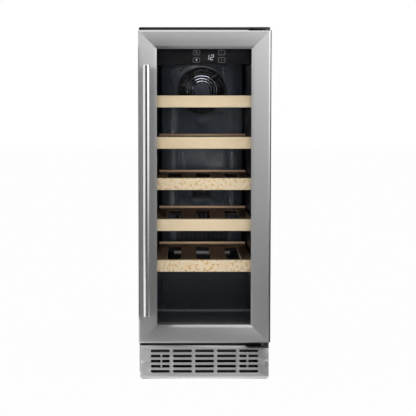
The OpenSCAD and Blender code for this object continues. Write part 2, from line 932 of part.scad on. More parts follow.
module top_hinge_bracket() {
    color(black)
        difference() {
            union() {
                hinge_tongue(top_plate_z);
                block([plate_left, leg_y, top_plate_z - 14], [plate_right, cab_front, cab_h]);
                translate([pin_x, pin_y, door_top - bush_len + 4])
                    cylinder(r = pin_r, h = top_plate_z - door_top + bush_len - 4);
                translate([pin_x, pin_y, door_top + 0.3])
                    cylinder(r = bush_r, h = top_plate_gap - 0.3);
            }
            hinge_screw_holes();
        }
}

// ---------- plinth ----------

module plinth_grille() {
    pitch_x = vent_slot_w + vent_slot_gap;
    slots_w = (slot_cols - 1) * pitch_x;
    slots_h = (slot_rows - 1) * vent_slot_pitch;
    color(steel)
        difference() {
            union() {
                block([-plinth_half, plinth_y, plinth_z],
                      [plinth_half, plinth_y + plinth_t, plinth_z + plinth_h]);
                for (s = [-1, 1])
                    block([s < 0 ? -plinth_half : plinth_half - plinth_t, plinth_y, plinth_z],
                          [s < 0 ? -plinth_half + plinth_t : plinth_half, cab_front, plinth_z + plinth_h]);
            }
            translate([0, plinth_y + plinth_t / 2, plinth_z + 38.7])
                rotate([90, 0, 0])
                    linear_extrude(plinth_t + 2 * eps, center = true)
                        for (c = [0 : slot_cols - 1], r = [0 : slot_rows - 1])
                            translate([c * pitch_x - slots_w / 2, r * vent_slot_pitch - slots_h / 2])
                                obround(vent_slot_w, vent_slot_h);
            for (s = [-1, 1])
                y_rod(m4_r, s * plinth_screw_x, plinth_y - eps, plinth_y + plinth_t + eps, plinth_screw_z);
            // notch under the bottom hinge plate
            block([plate_left - 1, plinth_y - eps, bottom_plate_z - 0.5],
                  [half_w, cab_front + eps, plinth_z + plinth_h + eps]);
        }
}

module plinth_brackets() {
    x = plinth_half - 48.5;
    color("silver")
        for (s = [-1, 1])
            block([s * x - 2, plinth_y + plinth_t, plinth_z + 21],
                  [s * x + 2, cab_front, leg_foot_z - 0.5]);
}

// ---------- compressor bay ----------

module compressor() {
    shoulder = 22;
    color(black) {
        translate([comp_x, comp_y, comp_z])
            rotate_extrude()
                polygon(concat([[0, 0], [comp_r - 6, 0], [comp_r, 6]],
                               [for (k = [0 : 6]) [comp_r - shoulder + shoulder * cos(k * 15),
                                                   comp_h - shoulder + shoulder * sin(k * 15)]],
                               [[0, comp_h]]));
        translate([comp_x, comp_y, comp_z - 2.5])
            linear_extrude(2.5)
                difference() {
                    square(2 * mount_r + 26, center = true);
                    for (x = [-1, 1], y = [-1, 1]) translate([x * mount_r, y * mount_r]) circle(r = 4);
                }
    }
}

mount_r = 48;

module compressor_mounts() {
    color([0.15, 0.15, 0.15])
        for (x = [-1, 1], y = [-1, 1])
            translate([comp_x + x * mount_r, comp_y + y * mount_r, floor_top]) {
                cylinder(r = 10, h = comp_z - 2.5 - floor_top);
                cylinder(r = 4, h = comp_z - floor_top + 3);
            }
}

module condenser_coil() {
    color(black)
        fin_block(coil_x0, coil_x1, coil_y, coil_y + coil_d, floor_top, bay_top - 40, 10, 5, 2, 4);
}

bay_fan_r = (coil_x1 - coil_x0) / 2 - 8;
bay_fan_plate = 2 * bay_fan_r + 14;
bay_fan_x = (coil_x0 + coil_x1) / 2;
bay_foot = bay_fan_plate / 2 - 13;

module condenser_fan_frame() {
    color(black) {
        translate([bay_fan_x, bay_fan_y, bay_fan_z])
            fan_holder(bay_fan_plate, bay_fan_r + 2, 2 + pin_gap, bay_fan_plate - 12);
        // foot that stands on the base pan
        block([bay_fan_x - bay_foot, bay_fan_y, floor_top],
              [bay_fan_x + bay_foot, bay_fan_y + 3, bay_fan_z - bay_fan_plate / 2]);
    }
}

module condenser_fan() {
    color([0.25, 0.26, 0.28]) translate([bay_fan_x, bay_fan_y + 7, bay_fan_z]) rotor(bay_fan_r, 5);
}

drier_x = comp_x + comp_r + 16;
drier_z = [floor_top + 50, floor_top + 115];
capillary_x = drier_x;

module filter_drier() {
    color(copper)
        translate([drier_x, comp_y, drier_z[0]]) cylinder(r = 8, h = drier_z[1] - drier_z[0]);
}

module refrigerant_pipes() {
    bend_z = bay_top - 12;
    low_z = floor_top + 30;
    port_z = comp_z + 60;
    coil_mid = coil_y + coil_d / 2;
    color(copper) {
        // suction line, from the evaporator to the compressor
        pipe([[-evap_half - 0.2, pipe_y, evap_z0 + 12], [suction_x, pipe_y, evap_z0 + 12],
              [suction_x, pipe_y, port_z], [comp_x, pipe_y, port_z],
              [comp_x, comp_y + comp_r, port_z]], pipe_r);
        // discharge line, from the compressor to the condenser
        pipe([[comp_x, comp_y - comp_r, port_z], [comp_x, comp_y - comp_r - 10, port_z],
              [coil_x0, comp_y - comp_r - 10, port_z]], pipe_r);
        // liquid line, from the condenser to the drier
        pipe([[coil_x0, coil_mid, low_z], [drier_x, coil_mid, low_z], [drier_x, comp_y, low_z],
              [drier_x, comp_y, drier_z[0]]], pipe_r);
        // capillary, from the drier to the evaporator
        pipe([[drier_x, comp_y, drier_z[1]], [drier_x, comp_y, bend_z], [capillary_x, pipe_y, bend_z],
              [capillary_x, pipe_y, evap_z0]], 2);
    }
}

module evaporation_pan() {
    z = comp_z + comp_h;
    color([0.2, 0.2, 0.22])
        difference() {
            block([comp_x - 55, comp_y - 55, z], [comp_x + 55, comp_y + 50, z + 20]);
            block([comp_x - 53, comp_y - 53, z + 2], [comp_x + 53, comp_y + 48, z + 20 + eps]);
        }
}

inlet_x = half_w - 50;
inlet_z = bay_top - 26;

module mains_inlet() {
    color(black)
        difference() {
            union() {
                block([inlet_x - 14, cover_y - 18, inlet_z - 11],
                      [inlet_x + 14, cover_y + sheet, inlet_z + 11]);
                block([inlet_x - 17, cover_y + sheet, inlet_z - 14],
                      [inlet_x + 17, cover_y + sheet + 2.5, inlet_z + 14]);
            }
            difference() {
                block([inlet_x - 11.5, cover_y - 14, inlet_z - 8],
                      [inlet_x + 11.5, cover_y + sheet + 2.5 + eps, inlet_z + 8]);
                for (x = [-7, 0, 7])
                    block([inlet_x + x - 1, cover_y - 15, inlet_z - 2],
                          [inlet_x + x + 1, cover_y - 2, inlet_z + 2]);
            }
        }
}

// ---------- screws and feet ----------

module cabinet_screws() {
    color("silver") {
        for (x = [-1, 1], z = [-1, 1])
            screw(x * fan_screws / 2, duct_front, fan_z + z * fan_screws / 2, 8);
        for (s = [-1, 1]) screw(s * plinth_screw_x, plinth_y, plinth_screw_z, 15);
        for (x = hinge_screw_xs, z = [top_plate_z - 9, bottom_plate_z - 8]) screw(x, leg_y, z, 13);
        for (s = [-1, 1], z = cover_screw_zs)
            mirror([0, 1, 0]) screw(s * cover_screw_x, -cover_y - sheet, z, 9);
    }
}

module foot(x, y) {
    color(black)
        translate([x, y, 0]) {
            cylinder(r = pad_dia / 2, h = foot_h);
            translate([0, 0, foot_h]) cylinder(r = stud_r + 3, h = base_z - foot_h - foot_gap, $fn = 6);
            cylinder(r = stud_r, h = base_z + 12 + foot_travel);
        }
}

outer_shell();
back_sheet();
base_pan();
foam_insulation();
inner_liner();
rear_duct_panel();
fan_guard();
fan_frame();
evaporator();
sensor_cover();
cabinet_screws();
control_housing();
control_fascia();
control_board();
led_lamp();
drip_channel();
shelf_runners(-1);  // shelf_runners_left
shelf_runners(1);  // shelf_runners_right
top_hinge_bracket();
bottom_hinge_plate();
plinth_grille();
plinth_brackets();
compressor();
compressor_mounts();
condenser_coil();
condenser_fan_frame();
refrigerant_pipes();
filter_drier();
evaporation_pan();
mains_inlet();
rear_cover();
door_profile_left();
door_profile_right();
door_profile_top();
door_profile_bottom();
outer_glass();
inner_glass();
glass_spacer();
door_liner();
door_gasket();
handle_bar();
handle_posts();
handle_screws();
hinge_bushes();
shelf_trim(1);  // shelf_1_trim
shelf_deck(1);  // shelf_1_deck
shelf_trim(2);  // shelf_2_trim
shelf_deck(2);  // shelf_2_deck
shelf_trim(3);  // shelf_3_trim
shelf_deck(3);  // shelf_3_deck
shelf_trim(4);  // shelf_4_trim
shelf_deck(4);  // shelf_4_deck
shelf_trim(5);  // shelf_5_trim
shelf_deck(5);  // shelf_5_deck
foot(-foot_x, foot_ys[0]);  // foot_front_left
foot(foot_x, foot_ys[0]);  // foot_front_right
foot(-foot_x, foot_ys[1]);  // foot_rear_left
foot(foot_x, foot_ys[1]);  // foot_rear_right
evaporator_fan();
condenser_fan();
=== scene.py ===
"""Looks of a narrow wine cooler with a glass door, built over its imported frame.

Every piece is in metres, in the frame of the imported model: +X to the right of someone who
faces the door, +Y to the back, +Z up, and the origin on the floor under the middle.
"""

from __future__ import annotations

import logging
import math
from collections.abc import Callable, Sequence
from dataclasses import dataclass, field
from enum import Enum
from typing import Any

import bpy
from mathutils import Matrix, Vector

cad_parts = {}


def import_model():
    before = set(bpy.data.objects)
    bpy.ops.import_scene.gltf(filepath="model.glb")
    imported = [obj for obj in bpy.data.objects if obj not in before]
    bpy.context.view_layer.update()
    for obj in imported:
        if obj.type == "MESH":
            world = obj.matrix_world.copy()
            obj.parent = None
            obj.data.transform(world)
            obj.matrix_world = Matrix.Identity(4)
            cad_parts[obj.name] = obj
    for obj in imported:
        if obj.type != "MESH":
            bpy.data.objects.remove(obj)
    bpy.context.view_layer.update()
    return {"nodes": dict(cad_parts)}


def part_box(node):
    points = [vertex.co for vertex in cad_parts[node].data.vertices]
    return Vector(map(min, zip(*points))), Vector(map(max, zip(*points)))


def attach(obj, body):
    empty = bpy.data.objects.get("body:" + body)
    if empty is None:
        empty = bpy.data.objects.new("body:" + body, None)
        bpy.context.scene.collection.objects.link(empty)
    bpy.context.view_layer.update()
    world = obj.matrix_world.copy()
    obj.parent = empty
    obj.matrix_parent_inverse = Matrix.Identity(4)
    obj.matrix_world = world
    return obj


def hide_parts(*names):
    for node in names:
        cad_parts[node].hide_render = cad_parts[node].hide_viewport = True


MM = 0.001
TOUCH = 0.01 * MM  # a point this near to a plane counts as on it
MERGE = 0.004 * MM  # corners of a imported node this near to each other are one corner
SNAP = 0.001 * MM  # a cut this near to a corner goes through it
FACET = math.radians(0.5)  # faces that turn by less than this are one flat face
ALONG = 0.9  # the least part of a direction that counts as along an axis
FLAT = 0.999  # the least part of a normal that counts as square to an axis
BETWEEN_COUNTS = 0.5  # tells a ray's count of none from a count of one
BRUSH_MAP = "brush"  # name of the UV map that says where across the brushing is
LOG = logging.getLogger("wine_cooler")

Node = bpy.types.Node
Socket = bpy.types.NodeSocket
Colour = tuple[float, float, float]
Test = Callable[[Vector, Vector], bool]


# ---------------------------------------------------------------- shader wiring


class Wiring:
    """Adds nodes and links to one shader tree."""

    def __init__(self, tree: bpy.types.NodeTree) -> None:
        """Keeps the node tree of a material, a world or a node group."""
        self.tree = tree

    def feed(self, node: Node, key: str | int, value: Any) -> None:
        """Feeds one input of a node.

        Args:
            node: The node.
            key: The input's name or index.
            value: A constant or the socket that feeds it. A colour may leave out its alpha.
        """
        socket = node.inputs[key]
        if isinstance(value, Socket):
            self.tree.links.new(value, socket)
        elif socket.type == "RGBA" and len(value) == 3:
            socket.default_value = (*value, 1.0)
        else:
            socket.default_value = value

    def add(self, kind: str, values: dict[Any, Any] | None = None, **settings: Any) -> Node:
        """Adds one node.

        Args:
            kind: The node's type name.
            values: For an input's name or index, a constant or the socket that feeds it.
            **settings: Properties of the node itself.

        Returns:
            The new node.
        """
        node = self.tree.nodes.new(kind)
        for name, value in settings.items():
            setattr(node, name, value)
        for key, value in (values or {}).items():
            self.feed(node, key, value)
        return node

    def math(self, operation: str, first: Any, second: Any) -> Socket:
        """Returns the socket with what an operation makes of two numbers or sockets."""
        return self.add("ShaderNodeMath", {0: first, 1: second}, operation=operation).outputs[0]

    def vector(self, operation: str, first: Any, second: Any) -> Socket:
        """Works out a vector.

        Args:
            operation: The operation's name.
            first: The first vector, colour or socket.
            second: The second vector, colour or socket.

        Returns:
            The socket with the result.
        """
        return self.add(
            "ShaderNodeVectorMath", {0: first, 1: second}, operation=operation
        ).outputs[0]

    def mix(self, share: Any, first: Any, second: Any) -> Socket:
        """Mixes two colours.

        Args:
            share: How much of the second one there is, from 0 to 1.
            first: The first colour or socket.
            second: The second colour or socket.

        Returns:
            The socket with the mixed colour.
        """
        return self.add(
            "ShaderNodeMix", {0: share, 6: first, 7: second}, data_type="RGBA"
        ).outputs[2]

    def blend(self, share: Any, first: Node, second: Node) -> Node:
        """Mixes two shaders.

        Args:
            share: How much of the second one there is, from 0 to 1.
            first: The first shader's node.
            second: The second shader's node.

        Returns:
            The node that mixes them.
        """
        return self.add(
            "ShaderNodeMixShader", {0: share, 1: first.outputs[0], 2: second.outputs[0]}
        )

    def spread(
        self, value: Any, low: float, high: float, to_low: float, to_high: float
    ) -> Socket:
        """Maps a value from one range to another, clamped.

        Args:
            value: The socket to map.
            low: Start of its range.
            high: End of its range.
            to_low: What the start becomes.
            to_high: What the end becomes.

        Returns:
            The socket with the mapped value.
        """
        return self.add(
            "ShaderNodeMapRange", {0: value, 1: low, 2: high, 3: to_low, 4: to_high}
        ).outputs[0]

    def swing(self, value: Any, amount: Any) -> Socket:
        """Returns a noise about 0.5 as a swing about 0, scaled by an amount."""
        return self.math("MULTIPLY", self.math("SUBTRACT", value, 0.5), amount)

    def noise(self, vector: Any, scale: Any, detail: float = 3.0, rough: float = 0.55) -> Socket:
        """Adds a noise texture.

        Args:
            vector: The coordinates it reads.
            scale: Its scale, in cells per metre of the coordinates.
            detail: How many finer layers it has.
            rough: How strong the finer layers are.

        Returns:
            The socket with the noise, about 0.5 on average.
        """
        return self.add(
            "ShaderNodeTexNoise",
            {"Vector": vector, "Scale": scale, "Detail": detail, "Roughness": rough},
        ).outputs[0]

    def stretched(
        self, vector: Any, scale: Sequence[float], turn: Sequence[float] = (0, 0, 0)
    ) -> Socket:
        """Turns and stretches coordinates.

        Args:
            vector: The coordinates.
            scale: The factor along each axis.
            turn: The turn about each axis, in radians.

        Returns:
            The socket with the new coordinates.
        """
        return self.add(
            "ShaderNodeMapping", {"Vector": vector, "Rotation": turn, "Scale": scale}
        ).outputs[0]


class Effect(Enum):
    """The effects that more than one finish uses, each a shader node group."""

    BRUSHED = "brushed_lines"
    CLOUD = "cloudy_tone"
    SKIN = "moulded_skin"
    WEAR = "edge_wear"
    DUST = "settled_dust"
    TIMBER = "timber_figure"


class EffectGroup(Wiring):
    """The node group of one effect."""

    # for each effect the first values of its inputs, and the names of its outputs
    SOCKETS: dict[Effect, tuple[dict[str, Any], tuple[str, ...]]] = {
        Effect.BRUSHED: ({"Stretch": (1, 1, 1), "Streak": 0.1}, ("Tone", "Height")),
        Effect.CLOUD: (
            {"Scale": 10.0, "Amount": 0.1, "Color": (0.5, 0.5, 0.5, 1)}, ("Color",)
        ),
        Effect.SKIN: (
            {"Scale": 900.0, "Roughness": 0.5, "Amount": 0.05}, ("Roughness", "Height")
        ),
        Effect.WEAR: (
            {"Amount": 0.3, "Color": (0.1, 0.1, 0.1, 1), "Worn": (0.3, 0.3, 0.3, 1)},
            ("Color",),
        ),
        Effect.DUST: (
            {"Amount": 0.1, "Color": (0.1, 0.1, 0.1, 1), "Dust": (0.45, 0.43, 0.40, 1)},
            ("Color",),
        ),
        Effect.TIMBER: (
            {"Pale": (0.8, 0.65, 0.45, 1), "Deep": (0.7, 0.5, 0.3, 1), "Fleck": 0.0,
             "Shift": 0.0},
            ("Color", "Roughness", "Height"),
        ),
    }
    KINDS = {1: "Float", 3: "Vector", 4: "Color"}  # a socket's kind, by how many numbers it has
    RUBBED = (0.51, 0.60)  # pointiness of an edge that starts to wear, and of a worn one
    FACES_UP = (0.6, 1.0)  # a normal's Z where dust starts to lie, and where it lies full
    AMBER = (0.67, 0.40, 0.13)  # colour of the timber's flecks

    def __init__(self, effect: Effect) -> None:
        """Makes the group with its inputs and outputs, and wires the effect between them.

        Args:
            effect: Which effect.
        """
        super().__init__(bpy.data.node_groups.new(effect.value, "ShaderNodeTree"))
        taken, given = self.SOCKETS[effect]
        for name, start in {"Vector": (0, 0, 0), **taken}.items():
            kind = self.KINDS[len(start) if isinstance(start, tuple) else 1]
            self.tree.interface.new_socket(
                name, in_out="INPUT", socket_type=f"NodeSocket{kind}"
            ).default_value = start
        for name in given:
            kind = "Color" if name == "Color" else "Float"
            self.tree.interface.new_socket(
                name, in_out="OUTPUT", socket_type=f"NodeSocket{kind}"
            )
        self.given = self.add("NodeGroupInput").outputs
        self.add("NodeGroupOutput", getattr(self, f"_{effect.name.lower()}")())

    def _brushed(self) -> dict[str, Any]:
        """Draws long fine lines along the brushing.

        Returns:
            The group's outputs: a tone near 1 and a height.
        """
        long_way = self.vector("MULTIPLY", self.given["Vector"], self.given["Stretch"])
        fine = self.noise(long_way, 1.0, 4.0, 0.7)
        broad = self.noise(long_way, 0.13, 2.0, 0.5)
        both = self.math(
            "ADD", self.math("MULTIPLY", fine, 0.6), self.math("MULTIPLY", broad, 0.4)
        )
        tone = self.math("ADD", self.swing(both, self.given["Streak"]), 1.0)
        return {"Tone": tone, "Height": both}

    def _cloud(self) -> dict[str, Any]:
        """Makes a tone softly uneven, as in paint, plastic and cast parts.

        Returns:
            The group's output: the colour.
        """
        noise = self.noise(self.given["Vector"], self.given["Scale"], 3.0, 0.5)
        tone = self.math("ADD", self.swing(noise, self.given["Amount"]), 1.0)
        return {"Color": self.vector("MULTIPLY", self.given["Color"], tone)}

    def _skin(self) -> dict[str, Any]:
        """Makes the fine pebbled skin of moulded plastic or powder coat.

        Returns:
            The group's outputs: the roughness and a height.
        """
        pebble = self.add(
            "ShaderNodeTexVoronoi", {"Vector": self.given["Vector"], "Scale": self.given["Scale"]}
        ).outputs["Distance"]
        noise = self.noise(self.given["Vector"], 60.0)
        swing = self.swing(noise, self.given["Amount"])
        return {
            "Roughness": self.math("ADD", self.given["Roughness"], swing),
            "Height": self.math("ADD", pebble, self.math("MULTIPLY", noise, 0.3)),
        }

    def _wear(self) -> dict[str, Any]:
        """Rubs the edges to a paler tone, broken up by noise.

        Returns:
            The group's output: the colour.
        """
        sharp = self.add("ShaderNodeNewGeometry").outputs["Pointiness"]
        edge = self.spread(sharp, *self.RUBBED, 0.0, 1.0)
        broken = self.spread(self.noise(self.given["Vector"], 120.0, 4.0), 0.35, 0.65, 0.2, 1.0)
        mask = self.math("MULTIPLY", self.math("MULTIPLY", edge, broken), self.given["Amount"])
        return {"Color": self.mix(mask, self.given["Color"], self.given["Worn"])}

    def _dust(self) -> dict[str, Any]:
        """Lays a thin film on what faces up.

        Returns:
            The group's output: the colour.
        """
        normal = self.add("ShaderNodeNewGeometry").outputs["Normal"]
        up = self.add("ShaderNodeSeparateXYZ", {0: normal}).outputs[2]
        facing = self.spread(up, *self.FACES_UP, 0.0, 1.0)
        patches = self.spread(self.noise(self.given["Vector"], 14.0, 5.0), 0.3, 0.7, 0.4, 1.0)
        mask = self.math("MULTIPLY", self.math("MULTIPLY", facing, patches), self.given["Amount"])
        return {"Color": self.mix(mask, self.given["Color"], self.given["Dust"])}

    def _timber(self) -> dict[str, Any]:
        """Draws pale close-grained timber along X, plain or with amber flecks.

        Returns:
            The group's outputs: the colour, the roughness and a height.
        """
        shift = self.add("ShaderNodeCombineXYZ", dict.fromkeys(range(3), self.given["Shift"]))
        vector = self.vector("ADD", self.given["Vector"], shift.outputs[0])
        fibres = self.noise(self.stretched(vector, (14, 260, 420)), 1.0, 4.0, 0.65)
        bands = self.noise(self.stretched(vector, (3, 30, 46)), 1.0, 3.0, 0.5)
        pores = self.noise(self.stretched(vector, (90, 900, 900)), 1.0, 2.0, 0.6)
        share = self.math(
            "ADD",
            self.math("MULTIPLY", self.spread(fibres, 0.35, 0.7, 0.0, 1.0), 0.45),
            self.math("MULTIPLY", self.spread(bands, 0.35, 0.7, 0.0, 1.0), 0.55),
        )
        plain = self.mix(share, self.given["Pale"], self.given["Deep"])
        curl = self.noise(self.stretched(vector, (150, 20, 130), (0, 0.7, 0)), 1.0, 3.0, 0.6)
        ray = self.noise(self.stretched(vector, (90, 30, 300), (0, -0.5, 0)), 1.0, 3.0, 0.6)
        spots = self.math(
            "MAXIMUM",
            self.spread(curl, 0.51, 0.63, 0.0, 1.0),
            self.spread(ray, 0.57, 0.68, 0.0, 0.8),
        )
        fleck = self.math("MULTIPLY", spots, self.given["Fleck"])
        return {
            "Color": self.mix(fleck, plain, self.AMBER),
            "Roughness": self.spread(pores, 0.3, 0.7, 0.42, 0.55),
            "Height": self.math("ADD", fibres, self.math("MULTIPLY", pores, 0.5)),
        }


class Surface(Wiring):
    """The wiring of one material, with its shader and the coordinates its patterns read."""

    BUMP = 0.6  # strength of every relief
    GROUPS: dict[Effect, EffectGroup] = {}

    def __init__(self, tree: bpy.types.NodeTree) -> None:
        """Adds the shader and the coordinates.

        Args:
            tree: The material's empty node tree.
        """
        super().__init__(tree)
        self.place = self.add("ShaderNodeTexCoord").outputs["Object"]
        self.shader = self.add("ShaderNodeBsdfPrincipled")

    def give(self, values: dict[str, Any]) -> None:
        """Feeds the shader's inputs, by their names, with constants or sockets."""
        for name, value in values.items():
            self.feed(self.shader, name, value)

    def effect(self, effect: Effect, values: dict[str, Any]) -> Any:
        """Places an effect on the object's coordinates.

        Args:
            effect: Which effect.
            values: Its other inputs, as constants or sockets.

        Returns:
            The effect's outputs.
        """
        if effect not in self.GROUPS:
            self.GROUPS[effect] = EffectGroup(effect)
        node = self.add("ShaderNodeGroup", node_tree=self.GROUPS[effect].tree)
        for name, value in {"Vector": self.place, **values}.items():
            self.feed(node, name, value)
        return node.outputs

    def bump(self, height: Socket, depth: float) -> None:
        """Raises the surface by a height.

        Args:
            height: The height, about 0 to 1.
            depth: What a height of 1 is in metres.
        """
        relief = self.add(
            "ShaderNodeBump", {"Height": height, "Distance": depth, "Strength": self.BUMP}
        )
        self.give({"Normal": relief.outputs[0]})


# ---------------------------------------------------------------- finishes


class Grain(Enum):
    """Which way the brushing of a steel part runs."""

    ACROSS = (14.0, 2600.0, 2600.0)
    UPRIGHT = (2600.0, 2600.0, 14.0)


def blank(data: bpy.types.Material | bpy.types.World) -> bpy.types.NodeTree:
    """Empties the node tree of a new material or world.

    Args:
        data: The material or world.

    Returns:
        Its node tree.
    """
    data.use_nodes = True
    data.node_tree.nodes.clear()
    return data.node_tree


@dataclass(frozen=True)
class Finish:
    """A painted, plated or moulded surface, and the base of the other finishes."""

    name: str  # the material's name
    colour: Colour  # base colour, linear
    roughness: float = 0.45  # mean roughness
    metallic: float = 0.0  # 1 for bare metal
    cloud: float = 0.15  # strength of the uneven tone
    cloud_scale: float = 9.0  # how many of its clouds there are to a metre
    skin: float = 900.0  # size of the moulded skin's cells, in cells per metre
    skin_swing: float = 0.12  # how much the skin's roughness varies
    relief: float = 0.00002  # height of the skin, in metres
    wear: float = 0.25  # strength of the paler edges
    worn: Colour = (0.10, 0.10, 0.105)  # colour of the rubbed edges
    dust: float = 0.0  # strength of the film on what faces up
    coat: float = 0.0  # weight of the clear coat
    coat_roughness: float = 0.08  # roughness of the clear coat
    gloss: float = 0.5  # level of the plain reflection

    def build(self) -> bpy.types.Material:
        """Makes the material.

        Returns:
            The new material.
        """
        material = bpy.data.materials.new(self.name)
        material.diffuse_color = (*self.colour, 1.0)
        surface = Surface(blank(material))
        surface.give({
            "Metallic": self.metallic, "Roughness": self.roughness, "Coat Weight": self.coat,
            "Coat Roughness": self.coat_roughness, "Specular IOR Level": self.gloss,
        })
        self.dress(surface)
        surface.add("ShaderNodeOutputMaterial", {0: self.outlet(surface).outputs[0]})
        return material

    def cloudy(self, surface: Surface, scale: float, amount: float) -> Socket:
        """Returns the finish's own colour with an uneven tone.

        Args:
            surface: The material's wiring.
            scale: How many clouds there are to a metre.
            amount: Strength of the unevenness.

        Returns:
            The socket with the colour.
        """
        return surface.effect(
            Effect.CLOUD, {"Scale": scale, "Amount": amount, "Color": self.colour}
        )["Color"]

    def dress(self, surface: Surface) -> None:
        """Gives the shader its uneven tone, its worn edges, its dust and its skin.

        Args:
            surface: The material's wiring.
        """
        colour = self.cloudy(surface, self.cloud_scale, self.cloud)
        if self.wear:
            colour = surface.effect(
                Effect.WEAR, {"Amount": self.wear, "Color": colour, "Worn": self.worn}
            )["Color"]
        if self.dust:
            colour = surface.effect(
                Effect.DUST, {"Amount": self.dust, "Color": colour}
            )["Color"]
        skin = surface.effect(
            Effect.SKIN,
            {"Scale": self.skin, "Roughness": self.roughness, "Amount": self.skin_swing},
        )
        surface.give({"Base Color": colour, "Roughness": skin["Roughness"]})
        surface.bump(skin["Height"], self.relief)

    def outlet(self, surface: Surface) -> Node:
        """Returns the shader's node that the output shows."""
        return surface.shader


@dataclass(frozen=True)
class BrushedSteel(Finish):
    """Stainless steel with fine lines along one way."""

    grain: Grain = Grain.ACROSS  # which way the lines run
    streak: float = 0.10  # how much the lines differ in tone
    stretch: float = 0.85  # how much wider a reflection spreads across the lines than along them
    uses_map: bool = True  # whether the piece has the UV map that says where across is
    metallic: float = 1.0
    cloud_scale: float = 5.0

    def dress(self, surface: Surface) -> None:
        """Adds the brushed lines and the stretched reflection.

        Args:
            surface: The material's wiring.
        """
        lines = surface.effect(
            Effect.BRUSHED, {"Stretch": self.grain.value, "Streak": self.streak}
        )
        base = self.cloudy(surface, self.cloud_scale, self.cloud)
        surface.give({
            "Base Color": surface.vector("MULTIPLY", base, lines["Tone"]),
            "Roughness": surface.math("MULTIPLY", lines["Tone"], self.roughness),
        })
        surface.bump(lines["Height"], self.relief)
        if self.uses_map:
            across = surface.add("ShaderNodeTangent", direction_type="UV_MAP", uv_map=BRUSH_MAP)
            surface.give({"Anisotropic": self.stretch, "Tangent": across.outputs[0]})


@dataclass(frozen=True)
class Timber(Finish):
    """Pale close-grained timber with its grain along X."""

    relief: float = 0.00003
    deep: Colour = (0.68, 0.48, 0.27)  # colour of the darker grain
    fleck: float = 0.0  # strength of the amber flecks
    shift: float = 0.0  # moves the figure, so that no two boards match

    def dress(self, surface: Surface) -> None:
        """Adds the figure, the fibres and the soft sheen.

        Args:
            surface: The material's wiring.
        """
        figure = surface.effect(
            Effect.TIMBER,
            {"Pale": self.colour, "Deep": self.deep, "Fleck": self.fleck, "Shift": self.shift},
        )
        surface.give({"Base Color": figure["Color"], "Roughness": figure["Roughness"]})
        surface.bump(figure["Height"], self.relief)


@dataclass(frozen=True)
class DoorGlass(Finish):
    """Clear glass that lets the lamps' light through."""

    bend: float = 1.04  # its index of refraction, low so that the panes shift and mirror little
    tint: Colour = (0.97, 0.97, 0.97)  # colour of the light that passes straight through
    ripple: float = 3.0  # how many of its slight waves there are to a metre

    def dress(self, surface: Surface) -> None:
        """Makes the shader clear, with a slight waviness."""
        surface.give({"Base Color": self.colour, "Transmission Weight": 1.0, "IOR": self.bend})
        surface.bump(surface.noise(surface.place, self.ripple, 1.0), self.relief)

    def outlet(self, surface: Surface) -> Node:
        """Lets shadow rays and bounced rays pass straight through.

        Args:
            surface: The material's wiring.

        Returns:
            The node that mixes the glass with clear air.
        """
        path = surface.add("ShaderNodeLightPath").outputs
        open_way = surface.math("MAXIMUM", path["Is Shadow Ray"], path["Is Diffuse Ray"])
        bounced = surface.math("GREATER_THAN", path["Glossy Depth"], BETWEEN_COUNTS)
        clear = surface.add("ShaderNodeBsdfTransparent", {0: self.tint})
        return surface.blend(
            surface.math("MAXIMUM", open_way, bounced), surface.shader, clear
        )


@dataclass(frozen=True)
class LitMark(Finish):
    """A printed or lit mark on the fascia; the glow of a printed mark is painted light."""

    wear: float = 0.0
    glow: float = 1.0  # strength of its light
    flicker: float = 0.25  # how uneven its light is
    flicker_scale: float = 160.0  # how many uneven spots there are to a metre

    def dress(self, surface: Surface) -> None:
        """Adds the light, a little uneven.

        Args:
            surface: The material's wiring.
        """
        super().dress(surface)
        lit = self.cloudy(surface, self.flicker_scale, self.flicker)
        surface.give({"Emission Color": lit, "Emission Strength": self.glow})


@dataclass(frozen=True)
class Spangled(Finish):
    """Zinc plated or galvanised sheet with its crystal pattern."""

    metallic: float = 0.8
    pale: float = 1.06  # the colour's factor in the palest crystals
    deep: float = 0.92  # the colour's factor in the deepest ones
    rough_swing: float = 0.04  # how far a crystal's roughness lies from the mean
    grit: float = 300.0  # how many of its fine waves there are to a metre

    def dress(self, surface: Surface) -> None:
        """Adds the crystals to the tone and the roughness.

        Args:
            surface: The material's wiring.
        """
        cells = surface.add(
            "ShaderNodeTexVoronoi", {"Vector": surface.place, "Scale": self.skin}
        ).outputs["Color"]
        tone = surface.add("ShaderNodeSeparateXYZ", {0: cells}).outputs[0]
        pale = tuple(min(1.0, self.pale * c) for c in self.colour)
        deep = tuple(self.deep * c for c in self.colour)
        rough = surface.spread(
            tone, 0.0, 1.0, self.roughness - self.rough_swing, self.roughness + self.rough_swing
        )
        surface.give({"Base Color": surface.mix(tone, deep, pale), "Roughness": rough})
        surface.bump(surface.noise(surface.place, self.grit), self.relief)


